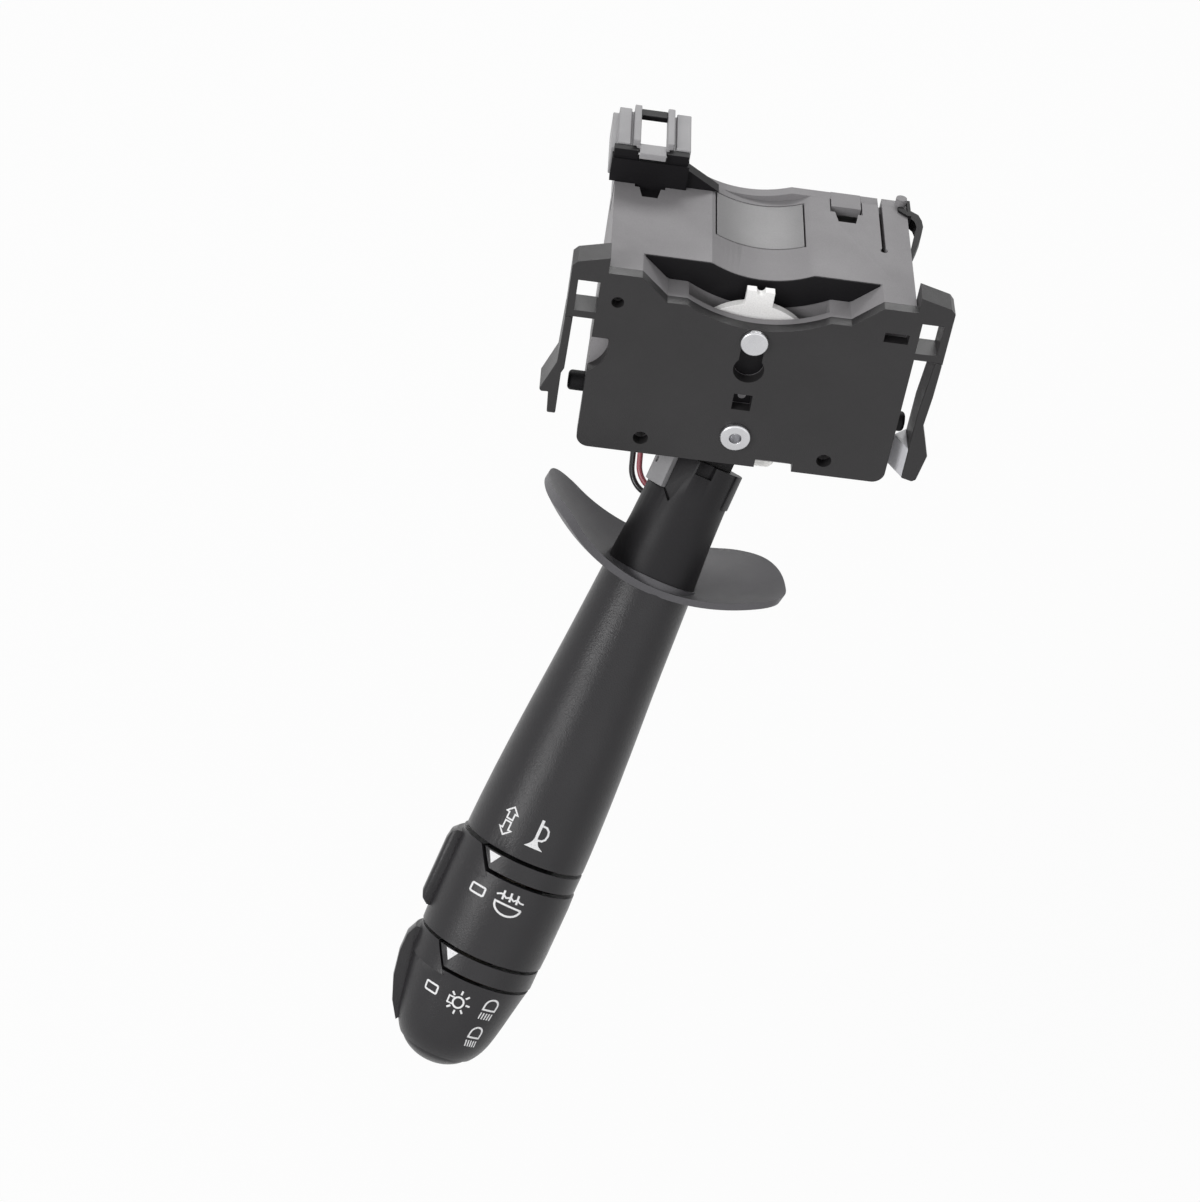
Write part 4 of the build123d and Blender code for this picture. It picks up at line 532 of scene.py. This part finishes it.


# Black liners: one hides the inside behind the pocket; the ones in the keyhole and the key square are painted
# shade, black that stands in for the shade inside these holes
def line_hole(name, outline, back, front):
    """Thin black sheet with an outline of (x, z) points, between two heights above the box's back."""
    shape = bmesh.new()
    low, high = [[shape.verts.new(Vector((x, -h, z)) * MM) for x, z in outline] for h in (back, front)]
    for i, j in zip(range(len(low)), list(range(1, len(low))) + [0]):
        shape.faces.new((low[i], low[j], high[j], high[i]))
    shape.faces.new(low)
    shape.faces.new(high)
    bmesh.ops.recalc_face_normals(shape, faces=shape.faces)
    mesh = bpy.data.meshes.new(name)
    shape.to_mesh(mesh)
    shape.free()
    piece = bpy.data.objects.new(name, mesh)
    bpy.context.collection.objects.link(piece)
    paint(piece, "connector_black")
    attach(piece, "housing")


column_z = 53.0
arc_radius, arc_end = 27.75, 13.79
ledge_z, ledge_end, ledge_rise = 28.95, 17.7, 4.75 / 5.4
scoop_radius, scoop_end, box_z = 21.8, 21.7, 33.6


def pocket_edge(side):
    """Heights of the pocket's ledge and of the scoop's edge at a distance from the middle."""
    if side < arc_end:
        low = column_z - (arc_radius ** 2 - side ** 2) ** 0.5
    else:
        low = ledge_z if side < ledge_end else ledge_z + (side - ledge_end) * ledge_rise
    top = min(box_z, column_z - (scoop_radius ** 2 - side ** 2) ** 0.5 if side < scoop_end else box_z)
    return low, max(top, low + 0.05)


pocket_side = 22.6
pocket_back = 31.52
pocket_liner_thickness = 0.25
# depth in the plate of the painted-shade sheets in the keyhole and the key square
hole_shade_sheet_depth = (37.2, 37.4)
keyhole_z, keyhole_radius = 16.0, 2.95
shank_side, shank_foot = 2.2, 20.35
key_side, key_z = 1.83, 8.2

places = [-pocket_side + 2 * pocket_side * i / 60 for i in range(61)]
line_hole("pocket_liner", [(x, pocket_edge(abs(x))[0]) for x in places] +
          [(x, pocket_edge(abs(x))[1]) for x in reversed(places)],
          pocket_back, pocket_back + pocket_liner_thickness)
# painted shade: black sheets that darken the keyhole and the key square where there is only shade
line_hole("keyhole_painted_shade", [(shank_side, shank_foot), (-shank_side, shank_foot)] +
          arc((0, keyhole_z), keyhole_radius, 138, 402, 24), *hole_shade_sheet_depth)
square = ((-1, -1), (1, -1), (1, 1), (-1, 1))
line_hole("key_square_painted_shade", [(x * key_side, key_z + z * key_side) for x, z in square], *hole_shade_sheet_depth)

# The cam pin's shank has a painted reflection: dark steel that stands in for the dark plate it reflects; only
# its head is bright
# painted reflection: dark colour of the shank in place of the dark plate mirrored in it
shank_painted_reflection_finish = metal("steel_with_painted_dark_reflection", "2a2a2b", "232324", 0.45, (1, 0.08, 1), 0.2)
pin = bpy.data.objects["cam_pin_eased"]
pin.data.materials.append(shank_painted_reflection_finish)
head_back = 40.04
for face in pin.data.polygons:
    if face.center.y > -head_back * MM:
        face.material_index = 1


# Pale floor far below the part, white world and soft lamps
def white_seen(tree, plain, share):
    """Mix plain shading with the white that the camera, glossy and clear rays see."""
    path = put(tree, "ShaderNodeLightPath")
    seen = put(tree, "ShaderNodeMath", {"operation": "MAXIMUM"}, i0=path.outputs["Is Camera Ray"],
               i1=path.outputs["Is Glossy Ray"])
    seen = put(tree, "ShaderNodeMath", {"operation": "MAXIMUM"}, i0=seen.outputs[0],
               i1=path.outputs["Is Transmission Ray"])
    amount = put(tree, "ShaderNodeMath", {"operation": "MULTIPLY"}, i0=seen.outputs[0], i1=share)
    white = put(tree, "ShaderNodeEmission" if plain.node.type != "BACKGROUND" else "ShaderNodeBackground",
                Color=(1, 1, 1, 1), Strength=1.0)
    return put(tree, "ShaderNodeMixShader", i0=amount.outputs[0], i1=plain, i2=white.outputs[0]).outputs[0]


def lay_floor():
    """Lay the wide paper floor some way below the part."""
    floor_z = cad_box[0][2] - 0.12
    mesh = bpy.data.meshes.new("studio_floor")
    reach = 6
    mesh.from_pydata([(-reach, -reach, floor_z), (reach, -reach, floor_z), (reach, reach, floor_z),
                      (-reach, reach, floor_z)], [], [(0, 1, 2, 3)])
    floor = bpy.data.objects.new("studio_floor", mesh)
    bpy.context.collection.objects.link(floor)
    material, tree = blank("white_paper_sweep")
    paper = put(tree, "ShaderNodeBsdfDiffuse", Color=linear("f0f0f0"))
    put(tree, "ShaderNodeOutputMaterial", Surface=white_seen(tree, paper.outputs[0], 0.9))
    mesh.materials.append(material)


def light_world(level):
    """Give the world one plain level of white light."""
    world = bpy.data.worlds.new("white_studio")
    bpy.context.scene.world = world
    world.use_nodes = True
    tree = world.node_tree
    tree.nodes.clear()
    plain = put(tree, "ShaderNodeBackground", Color=(1, 1, 1, 1), Strength=level)
    put(tree, "ShaderNodeOutputWorld", Surface=white_seen(tree, plain.outputs[0], 1.0))


def hang_lamp(name, place, target, width, height, power):
    """Hang a soft lamp of a width and height at a place, turned to its target."""
    data = bpy.data.lights.new(name, "AREA")
    data.shape = "ELLIPSE"
    data.size = width
    data.size_y = height
    data.energy = power
    lamp = bpy.data.objects.new(name, data)
    lamp.location = place
    lamp.rotation_euler = (Vector(target) - Vector(place)).to_track_quat("-Z", "Y").to_euler()
    bpy.context.collection.objects.link(lamp)


lay_floor()
light_world(0.44)
hang_lamp("back_softbox", (0.05, 1.0, 0.85), (-0.02, -0.05, -0.03), 1.0, 0.4, 6.5)
hang_lamp("front_softbox", (0.5, -2.0, 0.0), (-0.02, -0.05, -0.03), 3.0, 3.0, 14.0)
hang_lamp("left_softbox", (-0.93, -0.80, 0.51), (-0.02, -0.06, -0.06), 0.6, 0.6, 8.0)

bpy.context.scene.view_settings.view_transform = "Standard"
